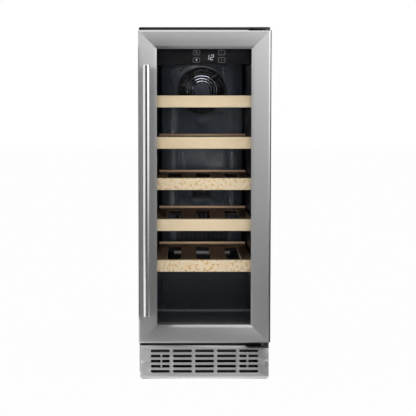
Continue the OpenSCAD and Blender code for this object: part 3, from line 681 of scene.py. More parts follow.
class Palette:
    """Every finish of the cooler, by name."""

    FINISHES: dict[str, Finish] = {finish.name: finish for finish in (
        Finish("shell_black", (0.010, 0.010, 0.012), 0.46, gloss=0.3, skin=1400.0, dust=0.10,
               worn=(0.05, 0.05, 0.055)),
        Spangled("galvanised", (0.42, 0.43, 0.44), 0.45, skin=120.0),
        Finish("pan_black", (0.018, 0.018, 0.018), 0.5),
        Finish("foam_cream", (0.80, 0.70, 0.45), 0.9, cloud=0.3, skin=500.0, relief=0.0003,
               wear=0.0),
        Finish("liner_black", (0.009, 0.010, 0.013), 0.32, skin=1600.0, relief=0.000004,
               worn=(0.03, 0.033, 0.04), gloss=0.3),
        Finish("duct_slate", (0.040, 0.050, 0.064), 0.24, skin=1500.0, relief=0.000003, gloss=0.9,
               worn=(0.04, 0.048, 0.06)),
        Finish("fan_black", (0.008, 0.008, 0.010), 0.44, skin=1200.0, gloss=0.3, relief=0.000004),
        Spangled("fin_aluminium", (0.78, 0.79, 0.80), 0.35, metallic=1.0, skin=220.0),
        Finish("screw_steel", (0.86, 0.86, 0.87), 0.24, metallic=1.0, cloud=0.2,
               worn=(0.8, 0.8, 0.8)),
        Finish("fascia_black", (0.009, 0.009, 0.010), 0.16, skin=1800.0, relief=0.000002,
               wear=0.1, gloss=0.1),
        Finish("board_green", (0.03, 0.16, 0.08), 0.35, cloud=0.4, coat=0.4),
        Finish("lamp_lens", (0.03, 0.032, 0.036), 0.35, skin=600.0, relief=0.00005, gloss=0.1),
        Finish("screw_dark", (0.03, 0.03, 0.032), 0.35, metallic=0.6, cloud=0.2,
               worn=(0.06, 0.06, 0.06)),
        # The deck's rear rail: beech painted paler than the boards, as painted light.
        Timber("rail_beech_painted_light", (0.95, 0.70, 0.48), 0.45, deep=(0.85, 0.58, 0.38), shift=5.1),
        Finish("drip_grey", (0.94, 0.94, 0.93), 0.3, wear=0.1, worn=(0.9, 0.9, 0.9)),
        Finish("hinge_black", (0.012, 0.012, 0.012), 0.22, coat=0.6, cloud=0.3,
               worn=(0.12, 0.12, 0.12)),
        BrushedSteel("stainless", (0.74, 0.74, 0.745), 0.32, stretch=0.75),
        BrushedSteel("stainless_upright", (0.74, 0.74, 0.745), 0.50, grain=Grain.UPRIGHT,
                     stretch=0.90),
        BrushedSteel("plinth_stainless", (0.74, 0.74, 0.745), 0.40, stretch=0.75),
        BrushedSteel("bar_stainless", (0.86, 0.86, 0.865), 0.17, grain=Grain.UPRIGHT,
                     uses_map=False, relief=0.000003, streak=0.06),
        Spangled("bracket_zinc", (0.50, 0.51, 0.52), 0.4, skin=140.0),
        Finish("compressor_black", (0.014, 0.014, 0.014), 0.35, coat=0.3, cloud=0.3),
        Finish("condenser_black", (0.02, 0.02, 0.02), 0.5),
        Finish("rubber_black", (0.018, 0.018, 0.018), 0.75, skin=700.0, relief=0.00004,
               worn=(0.06, 0.06, 0.06)),
        Finish("copper", (0.80, 0.42, 0.27), 0.3, metallic=1.0, cloud=0.4, worn=(0.9, 0.6, 0.45)),
        DoorGlass("door_glass", (0.99, 0.99, 0.99), 0.0, relief=0.0000008, gloss=0.02),
        Finish("spacer_black", (0.02, 0.02, 0.022), 0.4),
        Finish("door_black", (0.013, 0.013, 0.014), 0.4, skin=1300.0, dust=0.06),
        Finish("bush_white", (0.78, 0.78, 0.75), 0.4, worn=(0.85, 0.85, 0.83)),
        Timber("beech", (0.86, 0.72, 0.50), 0.45, deep=(0.80, 0.62, 0.39)),
        Timber("beech_2", (0.86, 0.72, 0.50), 0.45, deep=(0.80, 0.62, 0.39), fleck=0.15,
               shift=0.7),
        Timber("beech_3", (0.87, 0.74, 0.53), 0.45, deep=(0.82, 0.66, 0.43), fleck=0.8,
               shift=1.9),
        Timber("beech_4", (0.86, 0.72, 0.51), 0.45, deep=(0.82, 0.64, 0.40), shift=3.1),
        Timber("beech_5", (0.87, 0.74, 0.54), 0.45, deep=(0.83, 0.68, 0.46), fleck=1.0,
               shift=4.3),
        # Near black for the rear ends of the deck's slots: painted shade.
        Finish("painted_slot_shade", (0.010, 0.008, 0.006), 0.6, gloss=0.2, wear=0.0),
        # The deck's boards: beech painted dark brown, as painted shade.
        Timber("deck_ply", (0.44, 0.30, 0.19), 0.45, deep=(0.34, 0.22, 0.13), shift=2.3,
               relief=0.00004),
        Finish("rotor_grey", (0.004, 0.004, 0.005), 0.60, skin=1200.0, relief=0.000004, gloss=0.2,
               wear=0.0),
        Finish("hub_grey", (0.075, 0.090, 0.110), 0.30, skin=1200.0, relief=0.000004),
        Finish("wire_bright", (0.34, 0.37, 0.41), 0.22, metallic=1.0, relief=0.000002, wear=0.0),
        LitMark("display_lit", (0.34, 0.36, 0.38), 0.4, glow=0.75),
        # Printed key marks: real print given a glow as painted light.
        LitMark("key_print_painted_glow", (0.12, 0.125, 0.13), 0.4, glow=0.45),
        LitMark("key_lit", (0.30, 0.31, 0.33), 0.4, glow=0.4),
    )}

    def __init__(self) -> None:
        """Starts with no material made."""
        self.made: dict[str, bpy.types.Material] = {}

    def get(self, name: str) -> bpy.types.Material:
        """Returns the material of a finish, made on its first use.

        Args:
            name: The finish's name.

        Returns:
            The material.
        """
        if name not in self.made:
            self.made[name] = self.FINISHES[name].build()
        return self.made[name]


PALETTE = Palette()


# ---------------------------------------------------------------- modelling


class Pick(Enum):
    """What an edit-mode step selects."""

    VERTS = (True, False, False)
    EDGES = (False, True, False)
    FACES = (False, False, True)


def clear_selection() -> None:
    """Leaves nothing selected, and Blender in object mode."""
    if bpy.context.object and bpy.context.object.mode != "OBJECT":
        bpy.ops.object.mode_set(mode="OBJECT")
    bpy.ops.object.select_all(action="DESELECT")


def runs_back(point: Vector, way: Vector) -> bool:
    """Tells an edge that runs along Y, from its middle and its run."""
    return abs(way.y) > ALONG


class Piece:
    """One mesh that is being modelled."""

    def __init__(self, obj: bpy.types.Object) -> None:
        """Keeps a mesh object."""
        self.obj = obj

    # -- starts

    @classmethod
    def _named(cls, name: str) -> Piece:
        """Takes over the primitive that was just added.

        Args:
            name: The piece's name.

        Returns:
            The new piece.
        """
        obj = bpy.context.object
        obj.name = name
        obj.data.name = name
        piece = cls(obj)
        piece.settle()
        return piece

    @classmethod
    def box(cls, name: str, low: Sequence[float], high: Sequence[float]) -> Piece:
        """Adds a box between two corners.

        Args:
            name: The piece's name.
            low: Its lowest corner.
            high: Its highest corner.

        Returns:
            The new piece.
        """
        clear_selection()
        low, high = Vector(low), Vector(high)
        bpy.ops.mesh.primitive_cube_add(size=1.0, location=(low + high) / 2)
        bpy.context.object.scale = high - low
        return cls._named(name)

    @classmethod
    def rod(
        cls,
        name: str,
        start: Sequence[float],
        end: Sequence[float],
        radius: float,
        sides: int = 48,
    ) -> Piece:
        """Adds a rod between two points.

        Args:
            name: The piece's name.
            start: The centre of one end.
            end: The centre of the other end.
            radius: Its radius.
            sides: How many sides it has.

        Returns:
            The new piece.
        """
        clear_selection()
        start, end = Vector(start), Vector(end)
        turn = (end - start).to_track_quat("Z", "Y").to_euler()
        bpy.ops.mesh.primitive_cylinder_add(
            vertices=sides, radius=radius, depth=(end - start).length,
            location=(start + end) / 2, rotation=turn,
        )
        return cls._named(name)

    @classmethod
    def ring(
        cls,
        name: str,
        centre: Sequence[float],
        major: float,
        minor: float,
        around: int = 72,
        section: int = 10,
    ) -> Piece:
        """Adds a round wire ring that faces the door.

        Args:
            name: The piece's name.
            centre: Its centre.
            major: Radius of the ring.
            minor: Radius of its section.
            around: How many parts it has around.
            section: How many sides its section has.

        Returns:
            The new piece.
        """
        clear_selection()
        bpy.ops.mesh.primitive_torus_add(
            major_radius=major, minor_radius=minor, major_segments=around,
            minor_segments=section, location=centre, rotation=(math.pi / 2, 0, 0),
        )
        return cls._named(name)

    @classmethod
    def copy_of(cls, name: str, node: str) -> Piece:
        """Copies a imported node's mesh, with its triangles merged back into flat faces.

        Args:
            name: The copy's name.
            node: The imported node.

        Returns:
            The new piece.
        """
        source = bpy.data.objects[node]
        mesh = source.data.copy()
        obj = bpy.data.objects.new(name, mesh)
        bpy.context.scene.collection.objects.link(obj)
        piece = cls(obj)
        piece.edit(Pick.VERTS, None)
        bpy.ops.mesh.remove_doubles(threshold=MERGE)
        bpy.ops.mesh.dissolve_limited(angle_limit=FACET)
        piece.leave()
        return piece

    # -- edit steps

    def activate(self) -> None:
        """Makes this the only selected object, and the active one."""
        clear_selection()
        self.obj.select_set(True)
        bpy.context.view_layer.objects.active = self.obj

    def edit(self, pick: Pick, test: Test | None) -> int:
        """Enters edit mode with some of the mesh selected.

        Args:
            pick: Whether vertices, edges or faces are selected.
            test: Says whether a part is selected, from its middle and its direction, or
                None for all. The direction is a vertex's or face's normal, or an edge's run.

        Returns:
            How many parts are selected.
        """
        self.activate()
        mesh = self.obj.data
        bpy.context.tool_settings.mesh_select_mode = pick.value
        for group in (mesh.vertices, mesh.edges, mesh.polygons):
            group.foreach_set("select", [test is None] * len(group))
        count = 0
        if test is not None:
            verts = mesh.vertices
            if pick is Pick.VERTS:
                parts = [(v, v.co, v.normal) for v in verts]
            elif pick is Pick.EDGES:
                parts = [
                    (e, (verts[e.vertices[0]].co + verts[e.vertices[1]].co) / 2,
                     (verts[e.vertices[1]].co - verts[e.vertices[0]].co).normalized())
                    for e in mesh.edges
                ]
            else:
                parts = [(f, f.center, f.normal) for f in mesh.polygons]
            for part, middle, way in parts:
                if test(middle.copy(), way.copy()):
                    part.select = True
                    count += 1
        bpy.ops.object.mode_set(mode="EDIT")
        return count

    def leave(self) -> Piece:
        """Goes back to object mode and returns the piece."""
        bpy.ops.object.mode_set(mode="OBJECT")
        return self

    def bevel(self, test: Test | None, width: float, segments: int = 4) -> Piece:
        """Rounds the edges that a test picks.

        Args:
            test: Picks edges by middle and run.
            width: Width of the rounding.
            segments: How many steps it has.

        Returns:
            This piece.
        """
        if self.edit(Pick.EDGES, test) or test is None:
            bpy.ops.mesh.bevel(
                offset=width, offset_type="OFFSET", segments=segments, profile=0.5,
                affect="EDGES", clamp_overlap=True,
            )
        return self.leave()

    def slice(
        self, point: Sequence[float], normal: Sequence[float], fill: bool = False,
        clear: bool = True,
    ) -> Piece:
        """Cuts the mesh by a plane.

        Args:
            point: A point on the plane.
            normal: Points to the side that is cut away.
            fill: Whether the cut is closed.
            clear: Whether anything is cut away.

        Returns:
            This piece.
        """
        self.edit(Pick.VERTS, None)
        bpy.ops.mesh.bisect(
            plane_co=point, plane_no=normal, use_fill=fill, clear_outer=clear,
            threshold=SNAP,
        )
        return self.leave()

    def drop_faces(self, test: Test) -> Piece:
        """Deletes faces.

        Args:
            test: Picks faces by middle and normal.

        Returns:
            This piece.
        """
        if self.edit(Pick.FACES, test):
            bpy.ops.mesh.delete(type="FACE")
        return self.leave()

    def sink(self, test: Test, rim: float, shift: Sequence[float]) -> Piece:
        """Insets the faces that a test picks and moves what is inside.

        Args:
            test: Picks faces by middle and normal.
            rim: Width of the rim that is left.
            shift: How the inner face moves.

        Returns:
            This piece.
        """
        if self.edit(Pick.FACES, test):
            bpy.ops.mesh.inset(thickness=rim, depth=0.0, use_even_offset=True)
            bpy.ops.mesh.extrude_region_move(TRANSFORM_OT_translate={"value": tuple(shift)})
        return self.leave()

    # -- object steps

    def settle(self) -> None:
        """Puts the object's place, turn and scale into its mesh."""
        self.activate()
        bpy.ops.object.transform_apply(location=True, rotation=True, scale=True)

    def modify(self, kind: str, **settings: Any) -> Piece:
        """Adds a modifier and applies it.

        Args:
            kind: The modifier's type.
            **settings: Its settings.

        Returns:
            This piece.
        """
        self.activate()
        modifier = self.obj.modifiers.new(kind.title(), kind)
        for name, value in settings.items():
            setattr(modifier, name, value)
        bpy.ops.object.modifier_apply(modifier=modifier.name)
        return self

    def cut(self, tool: Piece) -> Piece:
        """Cuts another piece out of this one and removes it.

        Args:
            tool: The piece that is cut away.

        Returns:
            This piece.
        """
        self.modify("BOOLEAN", operation="DIFFERENCE", solver="EXACT", object=tool.obj)
        bpy.data.objects.remove(tool.obj)
        return self

    def soften(self, width: float, segments: int = 2, angle: float = 40.0) -> Piece:
        """Rounds every edge sharper than an angle.

        Args:
            width: Width of the rounding.
            segments: How many steps it has.
            angle: The least angle that is rounded, in degrees.

        Returns:
            This piece.
        """
        return self.modify(
            "BEVEL", width=width, segments=segments, limit_method="ANGLE",
            angle_limit=math.radians(angle), use_clamp_overlap=True, harden_normals=False,
        )

    def join(self, others: Sequence[Piece]) -> Piece:
        """Joins other pieces into this one.

        Args:
            others: The other pieces.

        Returns:
            This piece.
        """
        clear_selection()
        for other in others:
            other.obj.select_set(True)
        self.obj.select_set(True)
        bpy.context.view_layer.objects.active = self.obj
        bpy.ops.object.join()
        return self

    @classmethod
    def joined(cls, name: str, parts: Sequence[Piece]) -> Piece:
        """Names the first of several pieces, joins the others into it and returns it."""
        parts[0].obj.name = name
        return parts[0].join(parts[1:])

    def duplicate(self, name: str) -> Piece:
        """Copies the piece with its own mesh.

        Args:
            name: The copy's name.

        Returns:
            The copy.
        """
        obj = self.obj.copy()
        obj.data = self.obj.data.copy()
        obj.name = name
        obj.data.name = name
        bpy.context.scene.collection.objects.link(obj)
        return Piece(obj)

    def transform(self, matrix: Matrix) -> Piece:
        """Moves the mesh by a matrix, and turns its faces outwards if that mirrored it.

        Args:
            matrix: Where the mesh goes.

        Returns:
            This piece.
        """
        self.obj.data.transform(matrix)
        if matrix.determinant() < 0:
            self.obj.data.flip_normals()
        return self

    def lay_map(self, rule: Callable[[Vector], tuple[float, float]]) -> Piece:
        """Lays the UV map that says where across the brushing is.

        Args:
            rule: Gives u, across the lines, and v, along them, from a point.

        Returns:
            This piece.
        """
        mesh = self.obj.data
        while mesh.uv_layers:
            mesh.uv_layers.remove(mesh.uv_layers[0])
        layer = mesh.uv_layers.new(name=BRUSH_MAP)
        places = [rule(v.co) for v in mesh.vertices]
        for loop in mesh.loops:
            layer.data[loop.index].uv = places[loop.vertex_index]
        return self

    def smooth(self, angle: float = 35.0) -> Piece:
        """Shades the piece smooth.

        Args:
            angle: Edges sharper than this stay sharp, in degrees.

        Returns:
            This piece.
        """
        self.activate()
        bpy.ops.object.shade_smooth_by_angle(angle=math.radians(angle))
        return self

    def hand_over(
        self, body: str, slot: str, finish: str | None = None, replaces: Sequence[str] = ()
    ) -> None:
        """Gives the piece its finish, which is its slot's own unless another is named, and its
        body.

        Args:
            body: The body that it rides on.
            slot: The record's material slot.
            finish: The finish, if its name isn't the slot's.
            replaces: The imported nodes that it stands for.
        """
        self.obj.data.materials.clear()
        self.obj.data.materials.append(PALETTE.get(finish or slot))
        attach(self.obj, body)
        if replaces:
            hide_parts(*replaces)
        LOG.info("%s: %d faces on %s", self.obj.name, len(self.obj.data.polygons), body)


# ---------------------------------------------------------------- cabinet


@dataclass
class Softened:
    """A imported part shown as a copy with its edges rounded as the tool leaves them."""

    node: str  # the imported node
    name: str  # the copy's name
    slot: str  # its material slot
    width: float  # width of the rounding, in millimetres
    segments: int = 2  # steps of the rounding
    angle: float = 40.0  # edges sharper than this are rounded, in degrees
    body: str = "root"  # the body that it rides on

    def build(self) -> None:
        """Makes the copy and hands it over."""
        piece = Piece.copy_of(self.name, self.node)
        piece.soften(self.width * MM, self.segments, self.angle)
        piece.smooth().hand_over(self.body, self.slot, replaces=[self.node])


@dataclass
class Cabinet:
    """The painted shell and the moulded liner of the compartment."""

    sheet: float = 1.0 * MM  # thickness of the shell's steel
    fold: float = 1.2 * MM  # rounding of the shell's front folds
    top_fold: float = 2.5 * MM  # rounding of its top edges
    flange: float = 12.0 * MM  # width of the front flange
    liner: float = 2.0 * MM  # thickness of the liner
    flat: float = math.radians(1)  # the moulding's faces that turn by less than this are one
    corner: float = 9.0 * MM  # rounding of the liner's inner corners
    bead: float = 1.0 * MM  # radius of the bead on the compressor step
    bead_bend: float = 12.0 * MM  # rounding of the bead's lower corners
    bead_half: float = 102.0 * MM  # half the width that the bead frames
    bead_fade: float = 20.0 * MM  # how far below the duct panel the bead ends
    # height of the compartment's floor above the gasket's lower edge
    floor_rise: float = 13.5 * MM
    # distance from the cabinet's back to the front of the compressor step
    step_depth: float = 380.0 * MM

    def build(self) -> None:
        """Builds the shell and the liner."""
        self.shell()
        self.compartment()

    def shell(self) -> None:
        """Folds the shell from one sheet: two sides, the top and the front flanges."""
        low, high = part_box("outer_shell")
        piece = Piece.box("shell_sheet", low, high)
        piece.bevel(lambda p, d: abs(d.y) > ALONG and p.z > high.z - MM, self.top_fold, 5)
        piece.bevel(lambda p, d: p.y < low.y + TOUCH and p.z > low.z + MM, self.fold, 3)
        piece.drop_faces(lambda p, n: n.y > ALONG or n.z < -ALONG)
        piece.edit(Pick.FACES, lambda p, n: n.y < -FLAT)
        bpy.ops.mesh.inset(thickness=self.flange - self.fold, use_even_offset=True)
        bpy.ops.mesh.delete(type="FACE")
        piece.leave()
        piece.drop_faces(lambda p, n: n.y < -FLAT and p.z < low.z + 2 * self.flange)
        piece.modify("SOLIDIFY", thickness=self.sheet, offset=-1.0, use_even_offset=True)
        piece.smooth().hand_over("root", "shell_black", replaces=["outer_shell"])

    def compartment(self) -> None:
        """Moulds the liner: a stepped box with rounded inner corners and a front rim."""
        outer_low, outer_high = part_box("inner_liner")
        front = outer_low.y
        panel_low, panel_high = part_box("rear_duct_panel")
        half = -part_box("shelf_runners_left")[0].x
        low = Vector((-half, front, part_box("door_gasket")[0].z + self.floor_rise))
        high = Vector((half, outer_high.y - self.liner, panel_high.z))
        piece = Piece.box("liner_moulding", low, high)
        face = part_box("outer_shell")[1].y - self.step_depth
        beyond = 10 * MM
        piece.cut(Piece.box("step_tool", (-half - beyond, face, low.z - beyond),
                            (half + beyond, high.y + beyond, panel_low.z)))
        piece.edit(Pick.VERTS, None)
        bpy.ops.mesh.dissolve_limited(angle_limit=self.flat)
        piece.leave()
        piece.bevel(lambda p, d: p.y > front + MM, self.corner, 6)
        piece.drop_faces(lambda p, n: n.y < -FLAT and p.y < front + MM)
        piece.obj.data.flip_normals()
        piece.edit(Pick.EDGES, lambda p, d: p.y < front + TOUCH)
        bpy.ops.mesh.extrude_edges_move()
        piece.leave()
        # the new edges are spread from the opening's outline to the rim's
        inner_mid, inner_half = (low.z + high.z) / 2, (high.z - low.z) / 2
        rim_mid = (outer_low.z + outer_high.z) / 2
        rim_half = (outer_high.z - outer_low.z) / 2
        for vert in piece.obj.data.vertices:
            if vert.select:
                across = vert.co.x / half
                up = (vert.co.z - inner_mid) / inner_half
                reach = max(abs(across), abs(up))
                vert.co.x = across / reach * outer_high.x
                vert.co.z = rim_mid + up / reach * rim_half
        piece.modify("SOLIDIFY", thickness=self.liner, offset=-1.0, use_even_offset=True)
        self.step_bead(face, low.z + self.corner, panel_low.z - self.bead_fade)
        piece.smooth(50).hand_over("root", "liner_black", replaces=["inner_liner"])

    def step_bead(self, face: float, foot: float, head: float) -> None:
        """Raises the thin bead that frames the front of the compressor step.

        Args:
            face: Depth of the step's front.
            foot: Height at which its lower corners end.
            head: Height at which its sides end.
        """
        bend, wire = self.bead_bend, self.bead
        parts = []
        for side in (-1, 1):
            across = side * self.bead_half
            parts.append(Piece.rod(f"bead_side_{side}", (across, face, foot + bend),
                                   (across, face, head), wire, 12))
            middle = (across - side * bend, face, foot + bend)
            turn = Piece.ring(f"bead_turn_{side}", middle, bend, wire, 48, 12)
            turn.slice(middle, (-side, 0, 0))
            parts.append(turn.slice(middle, (0, 0, 1)))
        Piece.joined("step_bead", parts).smooth(50).hand_over("root", "liner_black")


@dataclass
class FanGuard:
    """The round wire guard in the duct panel, with its hub cap."""

    rim: float = 1.75 * MM  # radius of the outer ring's wire
    wire: float = 0.8 * MM  # radius of the thin wires
    # how far the thin wires' middle lies in front of the guard's back
    wire_lift: float = 1.3 * MM
    # distance from the guard's edge to where the thin rings are counted from
    ring_start: float = 5.0 * MM
    gap: float = 7.0 * MM  # distance between the thin wires
    rings: int = 5  # how many thin rings there are
    bright: int = 3  # how many of them, the innermost, are bare metal, so that they carry painted glints
    spoke: float = 1.1 * MM  # radius of a spoke
    spoke_end: float = 3.0 * MM  # distance from the guard's edge to a spoke's end
    spoke_lean: float = 1.3 * MM  # how much nearer than the hub's edge a spoke passes the middle
    turns: tuple[int, ...] = (25, 115, 205, 295)  # the spokes' directions, in degrees
    hub: float = 22.5 * MM  # radius of the hub
    hub_rise: float = 2.0 * MM  # height of its cap
    hub_round: float = 0.35 * MM  # rounding of the cap's edges
    groove: float = 0.9 * MM  # depth of the cap's round grooves
    # widths of the cap's rim, its first groove, the ring inside it and the second groove
    hub_steps: tuple[float, ...] = (1.2 * MM, 5.0 * MM, 1.4 * MM, 5.0 * MM)

    def build(self) -> None:
        """Bends the rings, lays the spokes and presses the hub cap."""
        low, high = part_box("fan_guard")
        centre = (low + high) / 2
        radius = (high.x - low.x) / 2
        face = Vector((0, high.y - self.wire_lift, centre.z))
        guard = Piece.ring("guard_wires", (0, high.y - self.rim, centre.z), radius - self.rim,
                           self.rim, 96, 12)
        rings = [
            Piece.ring(f"guard_ring_{i}", face, radius - self.ring_start - i * self.gap, self.wire)
            for i in range(1, self.rings + 1)
        ]
        offset = self.hub - self.spoke_lean
        reach = math.sqrt((radius - self.spoke_end) ** 2 - offset**2)
        spokes = []
        for turn in self.turns:
            spin = Matrix.Rotation(math.radians(-turn), 3, "Y")
            start, end = (spin @ Vector((x, 0, offset)) + face for x in (0.0, reach))
            spokes.append(Piece.rod(f"guard_spoke_{turn}", start, end, self.spoke, 12))
        dark = self.rings - self.bright
        guard.join(rings[:dark] + spokes)
        guard.smooth().hand_over("root", "fan_black", replaces=["fan_guard"])
        # the innermost rings, bare metal unlike the rest, carry the painted glints
        bright = Piece.joined("guard_inner_rings", rings[dark:])
        bright.smooth().hand_over("root", "fan_black", "wire_bright")
        self.cap(Vector((0, high.y, centre.z)))

    def cap(self, seat: Vector) -> None:
        """Presses the hub's cap with its two round grooves.

        Args:
            seat: Middle of the cap's back.
        """
        cap = Piece.rod("guard_hub", seat, seat - Vector((0, self.hub_rise, 0)), self.hub, 64)
        front = seat.y - self.hub_rise
        for step, width in enumerate(self.hub_steps):
            rises = step % 2 == 1
            cap.sink(
                lambda p, n: n.y < -ALONG and (step < 2 or abs(p.x) < MM)
                and (p.y > front + self.groove / 2) is rises,
                width, (0, -self.groove if rises else self.groove, 0),
            )
        cap.soften(self.hub_round, 3, 30)
        cap.smooth(50).hand_over("root", "rotor_grey", "hub_grey")


@dataclass
class Fasteners:
    """Pan-head screws with a cross recess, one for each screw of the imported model."""

    head: float = 4.0 * MM  # radius of the head
    rise: float = 2.5 * MM  # height of the head
    shank: float = 2.0 * MM  # radius of the shank
    length: float = 7.5 * MM  # length of the shank
    bite: float = 0.1 * MM  # how far the shank reaches into the head
    dome: float = 1.6 * MM  # rounding of the head
    recess: float = 1.3 * MM  # depth of the cross
    # half the length and half the width of the cross's arms
    cross: tuple[float, float] = (2.4 * MM, 0.55 * MM)
    # how much further each screw is turned than the one before, in degrees
    drive_turn: float = 23.0
    outer_part: float = 0.9  # what lies beyond this part of a screw's radius is its head
    # screws that end this near to the duct panel's front are the dark ones
    duct_reach: float = 20.0 * MM

    def build(self) -> None:
        """Models one screw, copies it to every place and joins the copies."""
        places = self.places()
        model = self.screw()
        copies = []
        for index, (middle, front, back, faces_back) in enumerate(places):
            turn = Matrix.Rotation(math.pi if faces_back else 0.0, 4, "Z")
            seat = back - self.rise if faces_back else front + self.rise
            drive = Matrix.Rotation(math.radians(self.drive_turn * index), 4, "Y")
            copy = model.duplicate(f"screw_{index}")
            copies.append(
                copy.transform(Matrix.Translation((middle.x, seat, middle.z)) @ turn @ drive)
            )
        bpy.data.objects.remove(model.obj)
        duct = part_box("rear_duct_panel")[0].y
        inner = [abs(back - duct) < self.duct_reach and not faces_back
                 for _, _, back, faces_back in places]
        for name, finish, chosen in (("duct_screws", "screw_dark", True),
                                     ("pan_head_screws", "screw_steel", False)):
            group = [copy for copy, flag in zip(copies, inner) if flag is chosen]
            Piece.joined(name, group).smooth(30).hand_over(
                "root", "screw_steel", finish, ["cabinet_screws"]
            )

    def places(self) -> list[tuple[Vector, float, float, bool]]:
        """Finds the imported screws.

        Returns:
            For each one its middle, its front and back in Y, and whether its head is at
            the back.
        """
        split = Piece.copy_of("screw_islands", "cabinet_screws")
        split.edit(Pick.VERTS, None)
        bpy.ops.mesh.separate(type="LOOSE")
        split.leave()
        islands = [o for o in bpy.context.selected_objects if o.type == "MESH"]
        found = []
        for obj in islands:
            points = [v.co.copy() for v in obj.data.vertices]
            low = Vector([min(p[i] for p in points) for i in range(3)])
            high = Vector([max(p[i] for p in points) for i in range(3)])
            middle = (low + high) / 2
            edge = self.outer_part * (high.x - middle.x)
            wide = [p.y for p in points if abs(p.x - middle.x) > edge]
            faces_back = sum(wide) / len(wide) > middle.y
            found.append((middle, low.y, high.y, faces_back))
        for obj in islands:
            bpy.data.objects.remove(obj)
        return sorted(found, key=lambda f: (round(f[0].y, 3), round(f[0].x, 3), f[0].z))

    def screw(self) -> Piece:
        """Models a screw with its seat at the origin and its head towards -Y.

        Returns:
            The screw.
        """
        head = Piece.rod("screw_model", (0, 0, 0), (0, -self.rise, 0), self.head, 28)
        head.bevel(lambda p, d: p.y < -self.rise + TOUCH, self.dome, 4)
        for across, up in (self.cross, self.cross[::-1]):
            head.cut(Piece.box("cross_tool", (-across, -self.rise - MM, -up),
                               (across, -self.rise + self.recess, up)))
        shank = Piece.rod("shank_model", (0, -self.bite, 0), (0, self.length, 0), self.shank, 16)
        return head.join([shank])


# ---------------------------------------------------------------- controls


